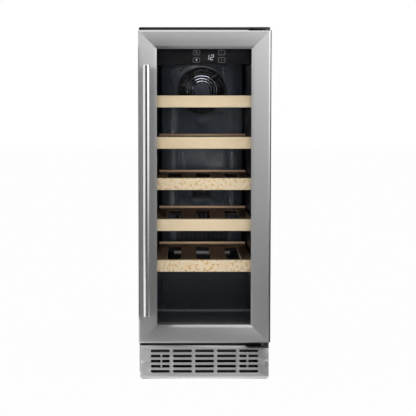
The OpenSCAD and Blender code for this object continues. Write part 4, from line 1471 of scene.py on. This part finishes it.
@dataclass
class ControlHead:
    """The black fascia with its lit figures, and printed key marks that glow as painted light."""

    edge: float = 0.8 * MM  # rounding of the fascia's front edges
    centre_x: float = 12.0 * MM  # middle of the display
    drop: float = 32.2 * MM  # how far the display's middle is below the top of the fascia
    lift: float = 0.12 * MM  # how far a mark stands in front of the fascia
    sunk: float = 0.2 * MM  # how deep its back lies behind the fascia's face
    # half the width and half the height of a figure, between its bars' middles
    figure: tuple[float, float] = (3.3 * MM, 5.4 * MM)
    spacing: float = 5.2 * MM  # distance of each figure from the display's middle
    bar_half: float = 0.75 * MM  # half the width of a bar
    bar_gap: float = 0.25 * MM  # distance from a bar's end to the next bar's middle line
    bar_point: float = 0.6 * MM  # size of the slants at a bar's ends
    slant: float = 0.16  # how far the figures lean, per unit of height
    key: tuple[float, float] = (16.0 * MM, 11.5 * MM)  # width and height of a key's outline
    line: float = 0.9 * MM  # width of an outline's print
    # rounding of an outline, outside and inside
    key_round: tuple[float, float] = (2.6 * MM, 1.8 * MM)
    # radius of the power key's ring, and of its wire
    symbol: tuple[float, float] = (2.3 * MM, 0.35 * MM)
    # half the width and the height of the ring's stroke
    stroke: tuple[float, float] = (0.3 * MM, 3.0 * MM)
    arrow: float = 1.8 * MM  # radius of the arrows
    # radius of the lamp symbol, and how far it is raised
    bulb: tuple[float, float] = (2.0 * MM, 0.9 * MM)
    # half the width, the bottom and the top of the lamp symbol's base
    socket: tuple[float, float, float] = (0.9 * MM, -2.6 * MM, -0.8 * MM)
    # each key's place, from the display's middle
    keys: dict[str, tuple[float, float]] = field(default_factory=lambda: {
        "light": (-30.2 * MM, -6.0 * MM), "power": (-30.2 * MM, 10.8 * MM),
        "down": (27.6 * MM, -6.0 * MM), "up": (27.6 * MM, 10.8 * MM),
    })
    centre: Vector = field(init=False)  # middle of the display, on the fascia's face

    # bars of a seven-bar figure, as (x, z, is upright), in half widths and half heights
    BARS = {"a": (0, 1, False), "b": (1, 0.5, True), "c": (1, -0.5, True), "d": (0, -1, False),
            "e": (-1, -0.5, True), "f": (-1, 0.5, True), "g": (0, 0, False)}

    def build(self) -> None:
        """Builds the fascia, the figures and the key marks."""
        low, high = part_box("control_fascia")
        panel = Piece.box("fascia_panel", low, high)
        panel.bevel(lambda p, d: p.y < low.y + TOUCH, self.edge, 3)
        panel.smooth().hand_over("root", "fascia_black", replaces=["control_fascia"])
        self.centre = Vector((self.centre_x, low.y, high.z - self.drop))
        self.figures()
        self.outlines()
        self.symbols()

    def mark(self, name: str, middle: Vector, low: Sequence[float],
             high: Sequence[float]) -> Piece:
        """Returns a flat mark whose corners lie this far in X and Z from a point on the face."""
        return Piece.box(name, middle + Vector((low[0], -self.lift, low[1])),
                         middle + Vector((high[0], self.sunk, high[1])))

    def figures(self) -> None:
        """Builds the two slanted seven-bar figures of the temperature."""
        bars = []
        for place, lit in ((-self.spacing, "bc"), (self.spacing, "abged")):
            for bar in lit:
                bars.append(self.bar(f"bar_{bar}_{'l' if place < 0 else 'r'}", place, bar))
        figures = Piece.joined("display_figures", bars)
        lean = Matrix.Identity(4)
        lean[0][2] = self.slant
        to_centre = Matrix.Translation(self.centre)
        figures.transform(to_centre @ lean @ to_centre.inverted())
        figures.hand_over("root", "lamp_lens", "display_lit")

    def bar(self, name: str, place: float, which: str) -> Piece:
        """Builds one bar of a figure.

        Args:
            name: The piece's name.
            place: Middle of the figure, from the display's middle.
            which: The bar's letter.

        Returns:
            The bar, with pointed ends.
        """
        x, z, upright = self.BARS[which]
        half_w, half_h = self.figure
        length = (half_h if upright else 2 * half_w) / 2 - self.bar_gap
        middle = self.centre + Vector((place + x * half_w, 0, z * half_h))
        reach = Vector((self.bar_half, length) if upright else (length, self.bar_half))
        piece = self.mark(name, middle, -reach, reach)
        return piece.bevel(runs_back, self.bar_point, 1)

    def outlines(self) -> None:
        """Builds the rounded outlines of the four keys."""
        rims = []
        for name, (x, z) in self.keys.items():
            middle = self.centre + Vector((x, 0, z))
            half = Vector(self.key) / 2
            rim = self.mark(f"rim_{name}", middle, -half, half)
            rim.bevel(runs_back, self.key_round[0], 4)
            inner = Vector((half.x - self.line, MM, half.y - self.line))
            tool = Piece.box("rim_tool", middle - inner, middle + inner)
            tool.bevel(runs_back, self.key_round[1], 4)
            rims.append(rim.cut(tool))
        Piece.joined("key_outlines", rims).smooth().hand_over("root", "lamp_lens", "key_print_painted_glow")

    def symbols(self) -> None:
        """Builds the marks inside the keys: a ring, a lamp, and arrows up and down."""
        at = {name: self.centre + Vector((x, 0, z)) for name, (x, z) in self.keys.items()}
        depth = Vector((0, -self.lift, 0))
        ring = Piece.ring("key_symbols", at["power"] + depth / 2, *self.symbol, 36, 8)
        half, height = self.stroke
        parts = [self.mark("stroke", at["power"], (-half, 0), (half, height))]
        for name, turn in (("up", 0.0), ("down", math.pi)):
            arrow = Piece.rod(f"arrow_{name}", at[name] + depth, at[name] - depth, self.arrow, 3)
            there = Matrix.Translation(at[name])
            parts.append(arrow.transform(
                there @ Matrix.Rotation(turn, 4, "Y") @ there.inverted()
            ))
        ring.join(parts).smooth().hand_over("root", "lamp_lens", "key_print_painted_glow")
        radius, raised = self.bulb
        middle = at["light"] + Vector((0, 0, raised))
        bulb = Piece.rod("lamp_symbol", middle + depth, middle - depth, radius, 28)
        half, bottom, top = self.socket
        cap = Piece.box("lamp_cap", at["light"] + Vector((-half, -self.lift, bottom)),
                        at["light"] + Vector((half, self.sunk / 2, top)))
        bulb.join([cap]).smooth().hand_over("root", "lamp_lens", "key_lit")


# ---------------------------------------------------------------- shelves


@dataclass
class Shelf:
    """One sliding shelf: a timber front and a slotted deck."""

    number: int  # 1 for the highest
    finish: str  # finish of its front
    round: float = 1.5 * MM  # rounding of the front's edges
    deck_round: float = 0.9 * MM  # rounding of the deck's edges
    rail: float = 22.0 * MM  # width of the rail at its back, painted paler than the boards as painted light
    slot_ends: float = 0.0  # Y of a line in front of the slots' rear ends
    board: float = 10.0 * MM  # thickness of the deck's boards

    def build(self) -> None:
        """Builds the front and the deck."""
        body = f"shelf_{self.number}"
        front = Piece.copy_of(f"shelf_front_{self.number}", f"{body}_trim")
        front.soften(self.round, 4)
        front.smooth().hand_over(body, "beech", self.finish, [f"{body}_trim"])
        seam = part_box(f"{body}_deck")[1].y - self.rail
        # the boards get a dark finish as painted shade, the rail a pale one as painted light
        for part, side, finish in (("boards", 1, "deck_ply"), ("rail", -1, "rail_beech_painted_light")):
            deck = Piece.copy_of(f"shelf_{part}_{self.number}", f"{body}_deck")
            deck.slice((0, seam, 0), (0, side, 0), fill=True)
            deck.soften(self.deck_round, 2)
            deck.drop_faces(self._shaded)
            deck.smooth().hand_over(body, "deck_ply", finish, [f"{body}_deck"])
        # the rear ends of the slots, once more, in a near-black finish as painted shade
        ends = Piece.copy_of(f"shelf_slot_ends_{self.number}", f"{body}_deck")
        ends.soften(self.deck_round, 2)
        ends.drop_faces(lambda point, facing: not self._shaded(point, facing))
        ends.smooth().hand_over(body, "deck_ply", "painted_slot_shade", [f"{body}_deck"])

    def board_top(self) -> float:
        """Returns the height of the boards' upper face, below the stop at the back."""
        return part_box(f"shelf_{self.number}_deck")[0].z + self.board

    def _shaded(self, point: Vector, facing: Vector) -> bool:
        """Tells the rear ends of the slots, which are painted near black as painted shade, from
        the other faces.
        """
        return facing.y < -ALONG and point.y > self.slot_ends and point.z < self.board_top()


# ---------------------------------------------------------------- door


class Side(Enum):
    """The four sides of the door's frame."""

    LEFT = "left"
    RIGHT = "right"
    TOP = "top"
    BOTTOM = "bottom"


@dataclass
class DoorFrame:
    """Four mitred stainless profiles: a round outer edge, a fine groove, a face that
    curves in towards the glass, and a sloping inner lip."""

    face: float = 42.0 * MM  # width of the profile's face
    depth: float = 22.0 * MM  # depth of its outer return
    edge: float = 4.5 * MM  # radius of its outer edge
    groove: float = 0.35 * MM  # depth of the groove beside the edge
    sag: float = 1.8 * MM  # how far the face curves in by its inner side
    lip: float = 5.5 * MM  # width of its inner lip
    lip_depth: float = 4.0 * MM  # how far the lip slopes back
    lip_return: float = 2.0 * MM  # width of the flange behind the lip
    lip_fold: float = 1.0 * MM  # rounding between the face and the lip
    sheet: float = 1.2 * MM  # thickness of the steel
    # heights above the edge of the groove's four lines, in millimetres
    groove_steps: tuple[float, ...] = (0.3, 0.7, 1.1, 1.5)
    # heights above the edge at which the face curves, in millimetres
    sag_steps: tuple[float, ...] = (5, 9, 13, 17, 21, 25, 29)
    slack: float = 10.0 * MM  # how much longer a profile is before its ends are mitred

    def build(self) -> None:
        """Folds the four profiles, mitres them and sets them on the door."""
        low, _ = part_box("door_profile_bottom")
        _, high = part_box("door_profile_top")
        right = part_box("door_profile_right")[1].x
        width, height = right - low.x, high.z - low.z
        stand = Matrix.Rotation(-math.pi / 2, 4, "Y")
        places = {
            Side.BOTTOM: (width, Matrix.Translation((low.x, low.y, low.z))),
            Side.TOP: (width, Matrix.Translation((low.x, low.y, high.z))
                       @ Matrix.Diagonal((1, 1, -1, 1))),
            Side.LEFT: (height, Matrix.Translation((low.x, low.y, low.z))
                        @ Matrix.Diagonal((-1, 1, 1, 1)) @ stand),
            Side.RIGHT: (height, Matrix.Translation((right, low.y, low.z)) @ stand),
        }
        for side, (length, matrix) in places.items():
            piece = self.profile(f"frame_{side.value}", length)
            upright = side in (Side.LEFT, Side.RIGHT)
            piece.lay_map(lambda p: (p.z - p.y, p.x))
            piece.transform(matrix)
            if not upright:
                piece.cut(self.bush_tool())
            piece.smooth(28).hand_over(
                "door", "stainless", "stainless_upright" if upright else "stainless",
                [f"door_profile_{side.value}"],
            )

    def profile(self, name: str, length: float) -> Piece:
        """Folds one profile along +X, its face towards -Y and its inner side towards +Z.

        Args:
            name: The piece's name.
            length: Its length over the points of the mitres.

        Returns:
            The profile.
        """
        face_end = self.face - self.lip
        flange_end = self.lip_depth + self.lip_return
        piece = Piece.box(name, (-self.slack, 0, 0),
                          (length + self.slack, self.depth, self.face))
        piece.slice((0, 0, face_end), (0, -self.lip, self.lip_depth), fill=True)
        piece.slice((0, flange_end, 0), (0, 1, 0), clear=False)
        piece.bevel(lambda p, d: abs(d.x) > ALONG and p.y < TOUCH and p.z < TOUCH, self.edge, 8)
        piece.bevel(lambda p, d: abs(d.x) > ALONG and p.y < TOUCH and p.z > face_end - TOUCH,
                    self.lip_fold, 3)
        for step in self.groove_steps + self.sag_steps:
            piece.slice((0, 0, self.edge + step * MM), (0, 0, 1), clear=False)
        start, end = (self.edge + self.groove_steps[i] * MM for i in (0, -1))
        for vert in piece.obj.data.vertices:
            if vert.co.y < self.lip_depth and vert.co.z > self.edge:
                share = min(1.0, (vert.co.z - self.edge) / (face_end - self.edge))
                vert.co.y += self.sag * share**2 * (1 - vert.co.y / self.lip_depth)
                if start < vert.co.z + TOUCH < end:
                    vert.co.y += self.groove
        piece.drop_faces(lambda p, n: n.y > ALONG or abs(n.x) > ALONG
                         or (n.z > ALONG and p.y > flange_end))
        piece.slice((0, 0, 0), (-1, 0, 1))
        piece.slice((length, 0, 0), (1, 0, 1))
        return piece.modify(
            "SOLIDIFY", thickness=self.sheet, offset=-1.0, use_even_offset=True
        )

    def bush_tool(self) -> Piece:
        """Makes the rod that opens a profile for the hinge bushes.

        Returns:
            The rod.
        """
        low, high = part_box("hinge_bushes")
        middle = (low + high) / 2
        radius = (high.x - low.x) / 2
        return Piece.rod("bush_tool", (middle.x, middle.y, low.z - MM),
                         (middle.x, middle.y, high.z + MM), radius, 48)


@dataclass
class Handle:
    """The handle's round bar with its recessed ends."""

    chamfer: float = 1.0 * MM  # rounding of the bar's ends
    wall: float = 1.5 * MM  # wall of the tube
    plug: float = 2.0 * MM  # how deep the end plugs sit
    # distances from each end of two lines that keep the shading straight
    lines: tuple[float, float] = (2.0 * MM, 4.0 * MM)

    def build(self) -> None:
        """Builds the bar."""
        low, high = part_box("handle_bar")
        middle = (low + high) / 2
        radius = (high.x - low.x) / 2
        bar = Piece.rod("grip_bar", (middle.x, middle.y, low.z), (middle.x, middle.y, high.z),
                        radius, 72)
        for sign in (-1, 1):
            bar.sink(lambda p, n, s=sign: n.z * s > ALONG, self.wall, (0, 0, -sign * self.plug))
        outer = radius - 0.5 * MM  # the tube's outer edge lies beyond this, its inner one within
        bar.bevel(
            lambda p, d: min(abs(p.z - low.z), abs(p.z - high.z)) < TOUCH
            and math.hypot(p.x - middle.x, p.y - middle.y) > outer,
            self.chamfer, 3,
        )
        near, far = self.lines
        for height in (low.z + near, low.z + far, high.z - far, high.z - near):
            bar.slice((0, 0, height), (0, 0, 1), clear=False)
        bar.smooth(30).hand_over("door", "bar_stainless", replaces=["handle_bar"])


@dataclass
class Gasket:
    """The magnetic gasket: a folded rubber ring with a soft bulge."""

    width: float = 12.0 * MM  # width of the ring
    fold: float = 1.8 * MM  # rounding of its outer edges
    groove: float = 1.6 * MM  # width and depth of the groove beside the magnet

    def build(self) -> None:
        """Builds the ring, its groove and its rounded edges."""
        low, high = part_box("door_gasket")
        middle = self.width / 2
        ring = Piece.box("gasket_ring", low, high)
        ring.cut(Piece.box("gasket_tool", low + Vector((self.width, -MM, self.width)),
                           high + Vector((-self.width, MM, -self.width))))
        side = middle - self.groove
        groove = Piece.box("groove_ring", (low.x + side, high.y - self.groove, low.z + side),
                           (high.x - side, high.y + MM, high.z - side))
        groove.cut(Piece.box("groove_tool", low + Vector((middle, -MM, middle)),
                             high + Vector((-middle, 2 * MM, -middle))))
        ring.cut(groove)
        ring.soften(self.fold, 4, 60)
        ring.smooth(60).hand_over("door", "rubber_black", replaces=["door_gasket"])


# ---------------------------------------------------------------- whole object


SOFTENED = (
    Softened("rear_duct_panel", "duct_cover", "duct_slate", 0.35),
    Softened("sensor_cover", "sensor_housing", "fan_black", 0.5),
    Softened("drip_channel", "drip_tray", "drip_grey", 0.5),
    Softened("shelf_runners_left", "runner_strips_left", "liner_black", 1.2, 3),
    Softened("shelf_runners_right", "runner_strips_right", "liner_black", 1.2, 3),
    Softened("led_lamp", "lamp_diffuser", "lamp_lens", 0.8, 3),
    Softened("top_hinge_bracket", "upper_hinge", "hinge_black", 0.5, 3),
    Softened("bottom_hinge_plate", "lower_hinge", "hinge_black", 0.5, 3),
    Softened("plinth_brackets", "plinth_stays", "bracket_zinc", 0.5),
    Softened("base_pan", "pan_pressing", "pan_black", 0.3),
    Softened("back_sheet", "back_panel", "galvanised", 0.3),
    Softened("rear_cover", "bay_cover", "galvanised", 0.3),
    Softened("mains_inlet", "inlet_socket", "fan_black", 0.5),
    Softened("evaporation_pan", "drain_pan", "fan_black", 0.8),
    Softened("compressor", "compressor_can", "compressor_black", 1.0, 2, 50),
    Softened("compressor_mounts", "compressor_feet", "rubber_black", 1.0, 3),
    Softened("filter_drier", "drier_can", "copper", 2.5, 4),
    Softened("control_board", "circuit_board", "board_green", 0.2),
    Softened("door_liner", "door_back", "door_black", 0.6, body="door"),
    Softened("glass_spacer", "pane_spacer", "spacer_black", 0.3, body="door"),
    Softened("handle_posts", "grip_posts", "bar_stainless", 0.2, body="door"),
    Softened("handle_screws", "grip_screws", "screw_steel", 0.3, body="door"),
    Softened("hinge_bushes", "pin_bushes", "bush_white", 0.4, body="door"),
    *(Softened(f"foot_{end}_{side}", f"{end}_{side}_foot", "rubber_black", 0.8, 3,
               body=f"foot_{end}_{side}")
      for end in ("front", "rear") for side in ("left", "right")),
)


@dataclass
class Pipes:
    """The copper pipes, sleeved in black where they run inside the insulated cabinet."""

    seam: float = 215.0 * MM  # height of the cabinet's floor, where the sleeves begin

    def build(self) -> None:
        """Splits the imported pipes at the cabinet's floor and paints the two parts."""
        for name, side, finish in (("pipe_runs", 1, "copper"), ("sleeved_pipes", -1, "fan_black")):
            part = Piece.copy_of(name, "refrigerant_pipes")
            part.slice((0, 0, self.seam), (0, 0, side), fill=True)
            part.smooth().hand_over("root", "copper", finish, ["refrigerant_pipes"])


@dataclass
class Plinth:
    """The slotted stainless plinth, with its slots' edges rolled in and its inside painted black
    as painted shade.
    """

    roll: float = 0.12 * MM  # rounding of its edges
    reach: float = 138.0 * MM  # half the width that the slots take up
    low: float = 8.0 * MM  # height of a line below the slots
    high: float = 72.0 * MM  # height of a line above them
    across: float = 0.5  # the part of a normal in Y that tells walls from faces and back

    def build(self) -> None:
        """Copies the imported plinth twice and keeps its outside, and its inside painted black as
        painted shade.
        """
        for name, finish, inside in (("plinth_sheet", "plinth_stainless", False),
                                     # the inside is the stainless sheet painted near black, as
                                     # painted shade
                                     ("plinth_walls_painted_shade", "fan_black", True)):
            piece = Piece.copy_of(name, "plinth_grille").soften(self.roll, 2)
            if not inside:
                piece.lay_map(lambda p: (p.z, p.x + p.y))
            piece.drop_faces(lambda p, n, keep=inside: self._inside(p, n) is not keep)
            piece.smooth().hand_over("root", "stainless", finish, ["plinth_grille"])

    def _inside(self, point: Vector, facing: Vector) -> bool:
        """Tells the sheet's inside, its slots' walls and its back, which get painted shade, from
        its outside.
        """
        among_slots = abs(point.x) < self.reach and self.low < point.z < self.high
        return (abs(facing.y) < self.across and among_slots) or facing.y > self.across


class WineCooler:
    """The whole cooler, sub-assembly by sub-assembly."""

    SHELF_FINISHES = ("beech", "beech_2", "beech_3", "beech_4", "beech_5")

    def __init__(self, nodes: dict[str, bpy.types.Object]) -> None:
        """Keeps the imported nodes, by name."""
        self.nodes = nodes

    def build(self) -> None:
        """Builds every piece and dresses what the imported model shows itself."""
        self.dress_nodes()
        Cabinet().build()
        FanGuard().build()
        Fasteners().build()
        ControlHead().build()
        for number, finish in enumerate(self.SHELF_FINISHES, start=1):
            Shelf(number, finish).build()
        DoorFrame().build()
        Handle().build()
        Gasket().build()
        Plinth().build()
        Pipes().build()
        for part in SOFTENED:
            part.build()

    def dress_nodes(self) -> None:
        """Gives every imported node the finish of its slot."""
        for obj in self.nodes.values():
            for place in obj.material_slots:
                place.material = PALETTE.get(place.material.name.split(".")[0])


# ---------------------------------------------------------------- studio


WHITE: Colour = (1.0, 1.0, 1.0)
DUSK: Colour = (0.78, 0.90, 1.10)  # light of the studio's dark side


@dataclass
class Card:
    """A flat card that only reflections see: a bright sheet or a dark flag."""

    name: str  # its name
    start: tuple[float, float, float]  # its first corner
    side: tuple[float, float, float]  # the corner beside it
    end: tuple[float, float, float]  # the first corner of its opposite side
    strength: float  # how bright it is from the first corner to the one beside it; 1 is white
    far: float | None = None  # how bright it is along its other side, if that differs
    # whether the compartment sees it through the glass, and not the door's steel
    inner: bool = False

    def build(self) -> None:
        """Makes the card and hides it from all but glossy rays."""
        clear_selection()
        bpy.ops.mesh.primitive_plane_add(size=1.0)
        card = bpy.context.object
        card.name = self.name
        start, side, end = Vector(self.start), Vector(self.side), Vector(self.end)
        for vert, corner in zip(card.data.vertices, (start, side, end, side + end - start)):
            vert.co = corner
        material = bpy.data.materials.new(self.name)
        wiring = Wiring(blank(material))
        along = wiring.add("ShaderNodeTexCoord").outputs["UV"]
        along = wiring.add("ShaderNodeSeparateXYZ", {0: along}).outputs[1]
        far = self.strength if self.far is None else self.far
        light = wiring.add(
            "ShaderNodeEmission", {1: wiring.spread(along, 0.0, 1.0, self.strength, far)}
        )
        path = wiring.add("ShaderNodeLightPath").outputs
        mirrored = wiring.math("GREATER_THAN", path["Glossy Depth"], BETWEEN_COUNTS)
        seen_by = wiring.math(
            "GREATER_THAN" if self.inner else "LESS_THAN", path["Transmission Depth"],
            BETWEEN_COUNTS,
        )
        mix = wiring.blend(
            wiring.math("MULTIPLY", mirrored, seen_by),
            wiring.add("ShaderNodeBsdfTransparent"), light,
        )
        wiring.add("ShaderNodeOutputMaterial", {0: mix.outputs[0]})
        material.cycles.emission_sampling = "NONE"
        card.data.materials.append(material)
        for ray in ("camera", "diffuse", "shadow", "transmission", "volume_scatter"):
            setattr(card, f"visible_{ray}", False)


@dataclass
class Lamp:
    """A soft lamp that looks at the cooler and isn't seen."""

    name: str  # its name
    place: tuple[float, float, float]  # where it hangs
    size: tuple[float, float]  # its width and height
    power: float  # its power in watts
    aim: tuple[float, float, float] = (0.0, 0.0, 0.45)  # the point that it looks at

    def build(self) -> None:
        """Hangs the lamp."""
        data = bpy.data.lights.new(self.name, "AREA")
        data.shape = "RECTANGLE"
        data.size, data.size_y = self.size
        data.energy = self.power
        lamp = bpy.data.objects.new(self.name, data)
        lamp.location = self.place
        look = Vector(self.aim) - Vector(self.place)
        lamp.rotation_euler = look.to_track_quat("-Z", "Y").to_euler()
        for ray in ("camera", "glossy", "transmission"):
            setattr(lamp, f"visible_{ray}", False)
        bpy.context.scene.collection.objects.link(lamp)


# The dark flags and the bright sheets that the steel and the plastic reflect.
CARDS = (
    Card("floor_flag", (-0.5, -0.53, 0.003), (3.0, -0.53, 0.003), (-0.5, -1.6, 0.003),
         0.09, 0.20),
    Card("mid_floor_flag", (-3.0, -1.6, 0.003), (3.0, -1.6, 0.003), (-3.0, -6.0, 0.003),
         0.22, 0.40),
    Card("far_floor_flag", (-6.0, -6.0, 0.003), (6.0, -6.0, 0.003), (-6.0, -14.0, 0.003),
         0.40, 0.50),
    Card("middle_flag", (-1.0, -2.0, 0.006), (0.22, -2.0, 0.006), (-1.0, -2.0, 0.90),
         0.30, 0.06),
    Card("right_flag", (0.9, -1.6, 0.006), (0.9, -0.2, 0.006), (0.9, -1.6, 1.2), 0.1, 2.3),
    Card("plinth_flag", (-0.15, -0.53, 0.004), (-0.15, -0.245, 0.004), (0.22, -0.53, 0.004),
         0.62, 0.10),
    # A dark card just in front of the left stile, whose reflection paints the handle's shade on
    # it.
    Card("handle_shade_flag", (-0.150, -0.285, 0.15), (-0.075, -0.285, 0.15),
         (-0.150, -0.285, 0.715), 0.17, 0.28),
    Card("bar_flag", (-0.184, -0.40, 0.14), (-0.076, -0.40, 0.14), (-0.184, -0.40, 0.73),
         0.16, 0.03),
    Card("left_flag", (-0.176, -0.290, 0.14), (-0.176, -0.215, 0.14), (-0.176, -0.290, 0.76),
         0.03, 0.35),
    Card("side_flag", (0.33, -0.30, 0.0), (0.33, 0.10, 0.0), (0.33, -0.30, 0.32), 0.0, 0.03),
    Card("side_sheet", (0.33, -0.30, 0.32), (0.33, 0.10, 0.32), (0.33, -0.30, 0.85),
         0.03, 3.2),
    # Seen only from inside the compartment, these four cards make painted highlights: the glow on
    # the duct panel, a broad wash, the light line along the step's fillet and the glints on the
    # guard's inner rings.
    Card("glow_sheet", (0.06, -2.7, 0.52), (0.32, -2.7, 0.52), (0.06, -2.7, 0.68), 9.0,
         inner=True),
    Card("wash_sheet", (-0.45, -2.8, 0.56), (0.50, -2.8, 0.56), (-0.45, -2.8, 0.85), 0.65,
         inner=True),
    Card("fillet_sheet", (-0.10, -0.19, 0.236), (0.10, -0.19, 0.236), (-0.10, -0.02, 0.236),
         2.4, inner=True),
    Card("guard_sheet", (-0.05, 0.13, 0.762), (0.05, 0.13, 0.762), (-0.05, 0.20, 0.762),
         10.0, inner=True),
)

LAMPS = (
    Lamp("key_lamp", (-2.2, -3.4, 2.6), (1.8, 1.8), 13.0),
    Lamp("fill_lamp", (2.6, -3.0, 1.8), (1.8, 1.8), 9.0),
    Lamp("front_lamp", (0.0, -4.2, 0.62), (1.8, 1.0), 80.0),
)


@dataclass
class Studio:
    """Pale floor, soft lamps, reflection cards and the camera."""

    ambient: float = 0.45  # strength of the world on scattering surfaces
    dim: float = 0.42  # strength of what the compartment reflects through the glass
    floor_size: float = 28.0  # width of the floor
    floor_grey: Colour = (0.90, 0.90, 0.90)  # colour of the floor under the lamps
    floor_dim: float = 0.35  # how much weaker than the world the floor is in those reflections
    floor_white: float = 0.975  # how much of the floor a camera sees as plain white
    shadow_reach: float = 0.12  # how far from the cooler its shadow on the floor reaches
    # how open to the sky the floor is where it is black, and where it is white
    shadow: tuple[float, float] = (0.05, 0.35)
    lens: float = 89.59  # the camera's focal length, in millimetres
    sensor: float = 36.0  # width of its sensor, in millimetres
    shift: tuple[float, float] = (0.0495, -0.085)  # its shift across and up
    stand: tuple[float, float, float] = (-0.0391, -2.5902, 0.6123)  # where it stands
    pitch: float = 3.346  # how far it looks down, in degrees

    def build(self) -> None:
        """Sets up everything around the cooler."""
        self.camera()
        self.world()
        self.floor()
        for prop in (*CARDS, *LAMPS):
            prop.build()
        bpy.context.scene.view_settings.view_transform = "Standard"

    def camera(self) -> None:
        """Places the camera a little left of the middle, at three quarters of the height."""
        data = bpy.data.cameras.new("studio_camera")
        data.lens = self.lens
        data.sensor_width = self.sensor
        data.shift_x, data.shift_y = self.shift
        camera = bpy.data.objects.new("studio_camera", data)
        camera.location = self.stand
        camera.rotation_euler = (math.radians(90 - self.pitch), 0.0, 0.0)
        bpy.context.scene.collection.objects.link(camera)
        bpy.context.scene.camera = camera

    @staticmethod
    def _sorted(
        wiring: Wiring, soft: Node, white: Node, dim: Node,
        share: float = 1.0,
    ) -> Socket:
        """Shows each kind of ray its own shader.

        Args:
            wiring: The wiring of the world or of the floor.
            soft: The shader for rays that scattering surfaces sent out.
            white: The one for camera, glossy and transmission rays.
            dim: The one for rays that a reflection in the compartment sent out through the
                glass, because what the compartment reflects is the dark side of the studio.
            share: How much of the white shader its rays see.

        Returns:
            The socket with the sorted shaders.
        """
        path = wiring.add("ShaderNodeLightPath").outputs
        straight = wiring.math("MAXIMUM", path["Is Camera Ray"], path["Is Glossy Ray"])
        straight = wiring.math("MAXIMUM", straight, path["Is Transmission Ray"])
        straight = wiring.math("MULTIPLY", straight, share)
        bounced = wiring.math("GREATER_THAN", path["Glossy Depth"], BETWEEN_COUNTS)
        inside = wiring.math("GREATER_THAN", path["Transmission Depth"], BETWEEN_COUNTS)
        mix = wiring.blend(straight, soft, white)
        return wiring.blend(wiring.math("MULTIPLY", bounced, inside), mix, dim).outputs[0]

    def world(self) -> None:
        """Makes a white world that lights scattering surfaces at a plain level."""
        world = bpy.data.worlds.new("white_studio")
        wiring = Wiring(blank(world))
        soft, white, dim = (
            wiring.add("ShaderNodeBackground", {0: colour, 1: strength})
            for colour, strength in ((WHITE, self.ambient), (WHITE, 1.0), (DUSK, self.dim))
        )
        wiring.add("ShaderNodeOutputWorld", {0: self._sorted(wiring, soft, white, dim)})
        world.cycles.sampling_method = "NONE"
        bpy.context.scene.world = world

    def floor(self) -> None:
        """Lays the pale floor, which keeps the cooler's shadow."""
        clear_selection()
        bpy.ops.mesh.primitive_plane_add(size=self.floor_size)
        floor = bpy.context.object
        floor.name = "studio_floor"
        material = bpy.data.materials.new("pale_floor")
        wiring = Wiring(blank(material))
        chalk = wiring.add("ShaderNodeBsdfDiffuse", {0: self.floor_grey})
        open_sky = wiring.add(
            "ShaderNodeAmbientOcclusion", {"Distance": self.shadow_reach}
        ).outputs["AO"]
        level = wiring.spread(open_sky, *self.shadow, 0.0, 1.0)
        white = wiring.add("ShaderNodeEmission", {0: WHITE, 1: level})
        dim = wiring.add("ShaderNodeEmission", {0: DUSK, 1: self.floor_dim * self.dim})
        surface = self._sorted(wiring, chalk, white, dim, self.floor_white)
        wiring.add("ShaderNodeOutputMaterial", {0: surface})
        material.cycles.emission_sampling = "NONE"
        floor.data.materials.append(material)


def main() -> None:
    """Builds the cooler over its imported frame, and the studio around it."""
    logging.basicConfig(level=logging.INFO, format="%(message)s")
    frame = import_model()
    WineCooler(frame["nodes"]).build()
    Studio().build()


if __name__ == "__main__":
    main()
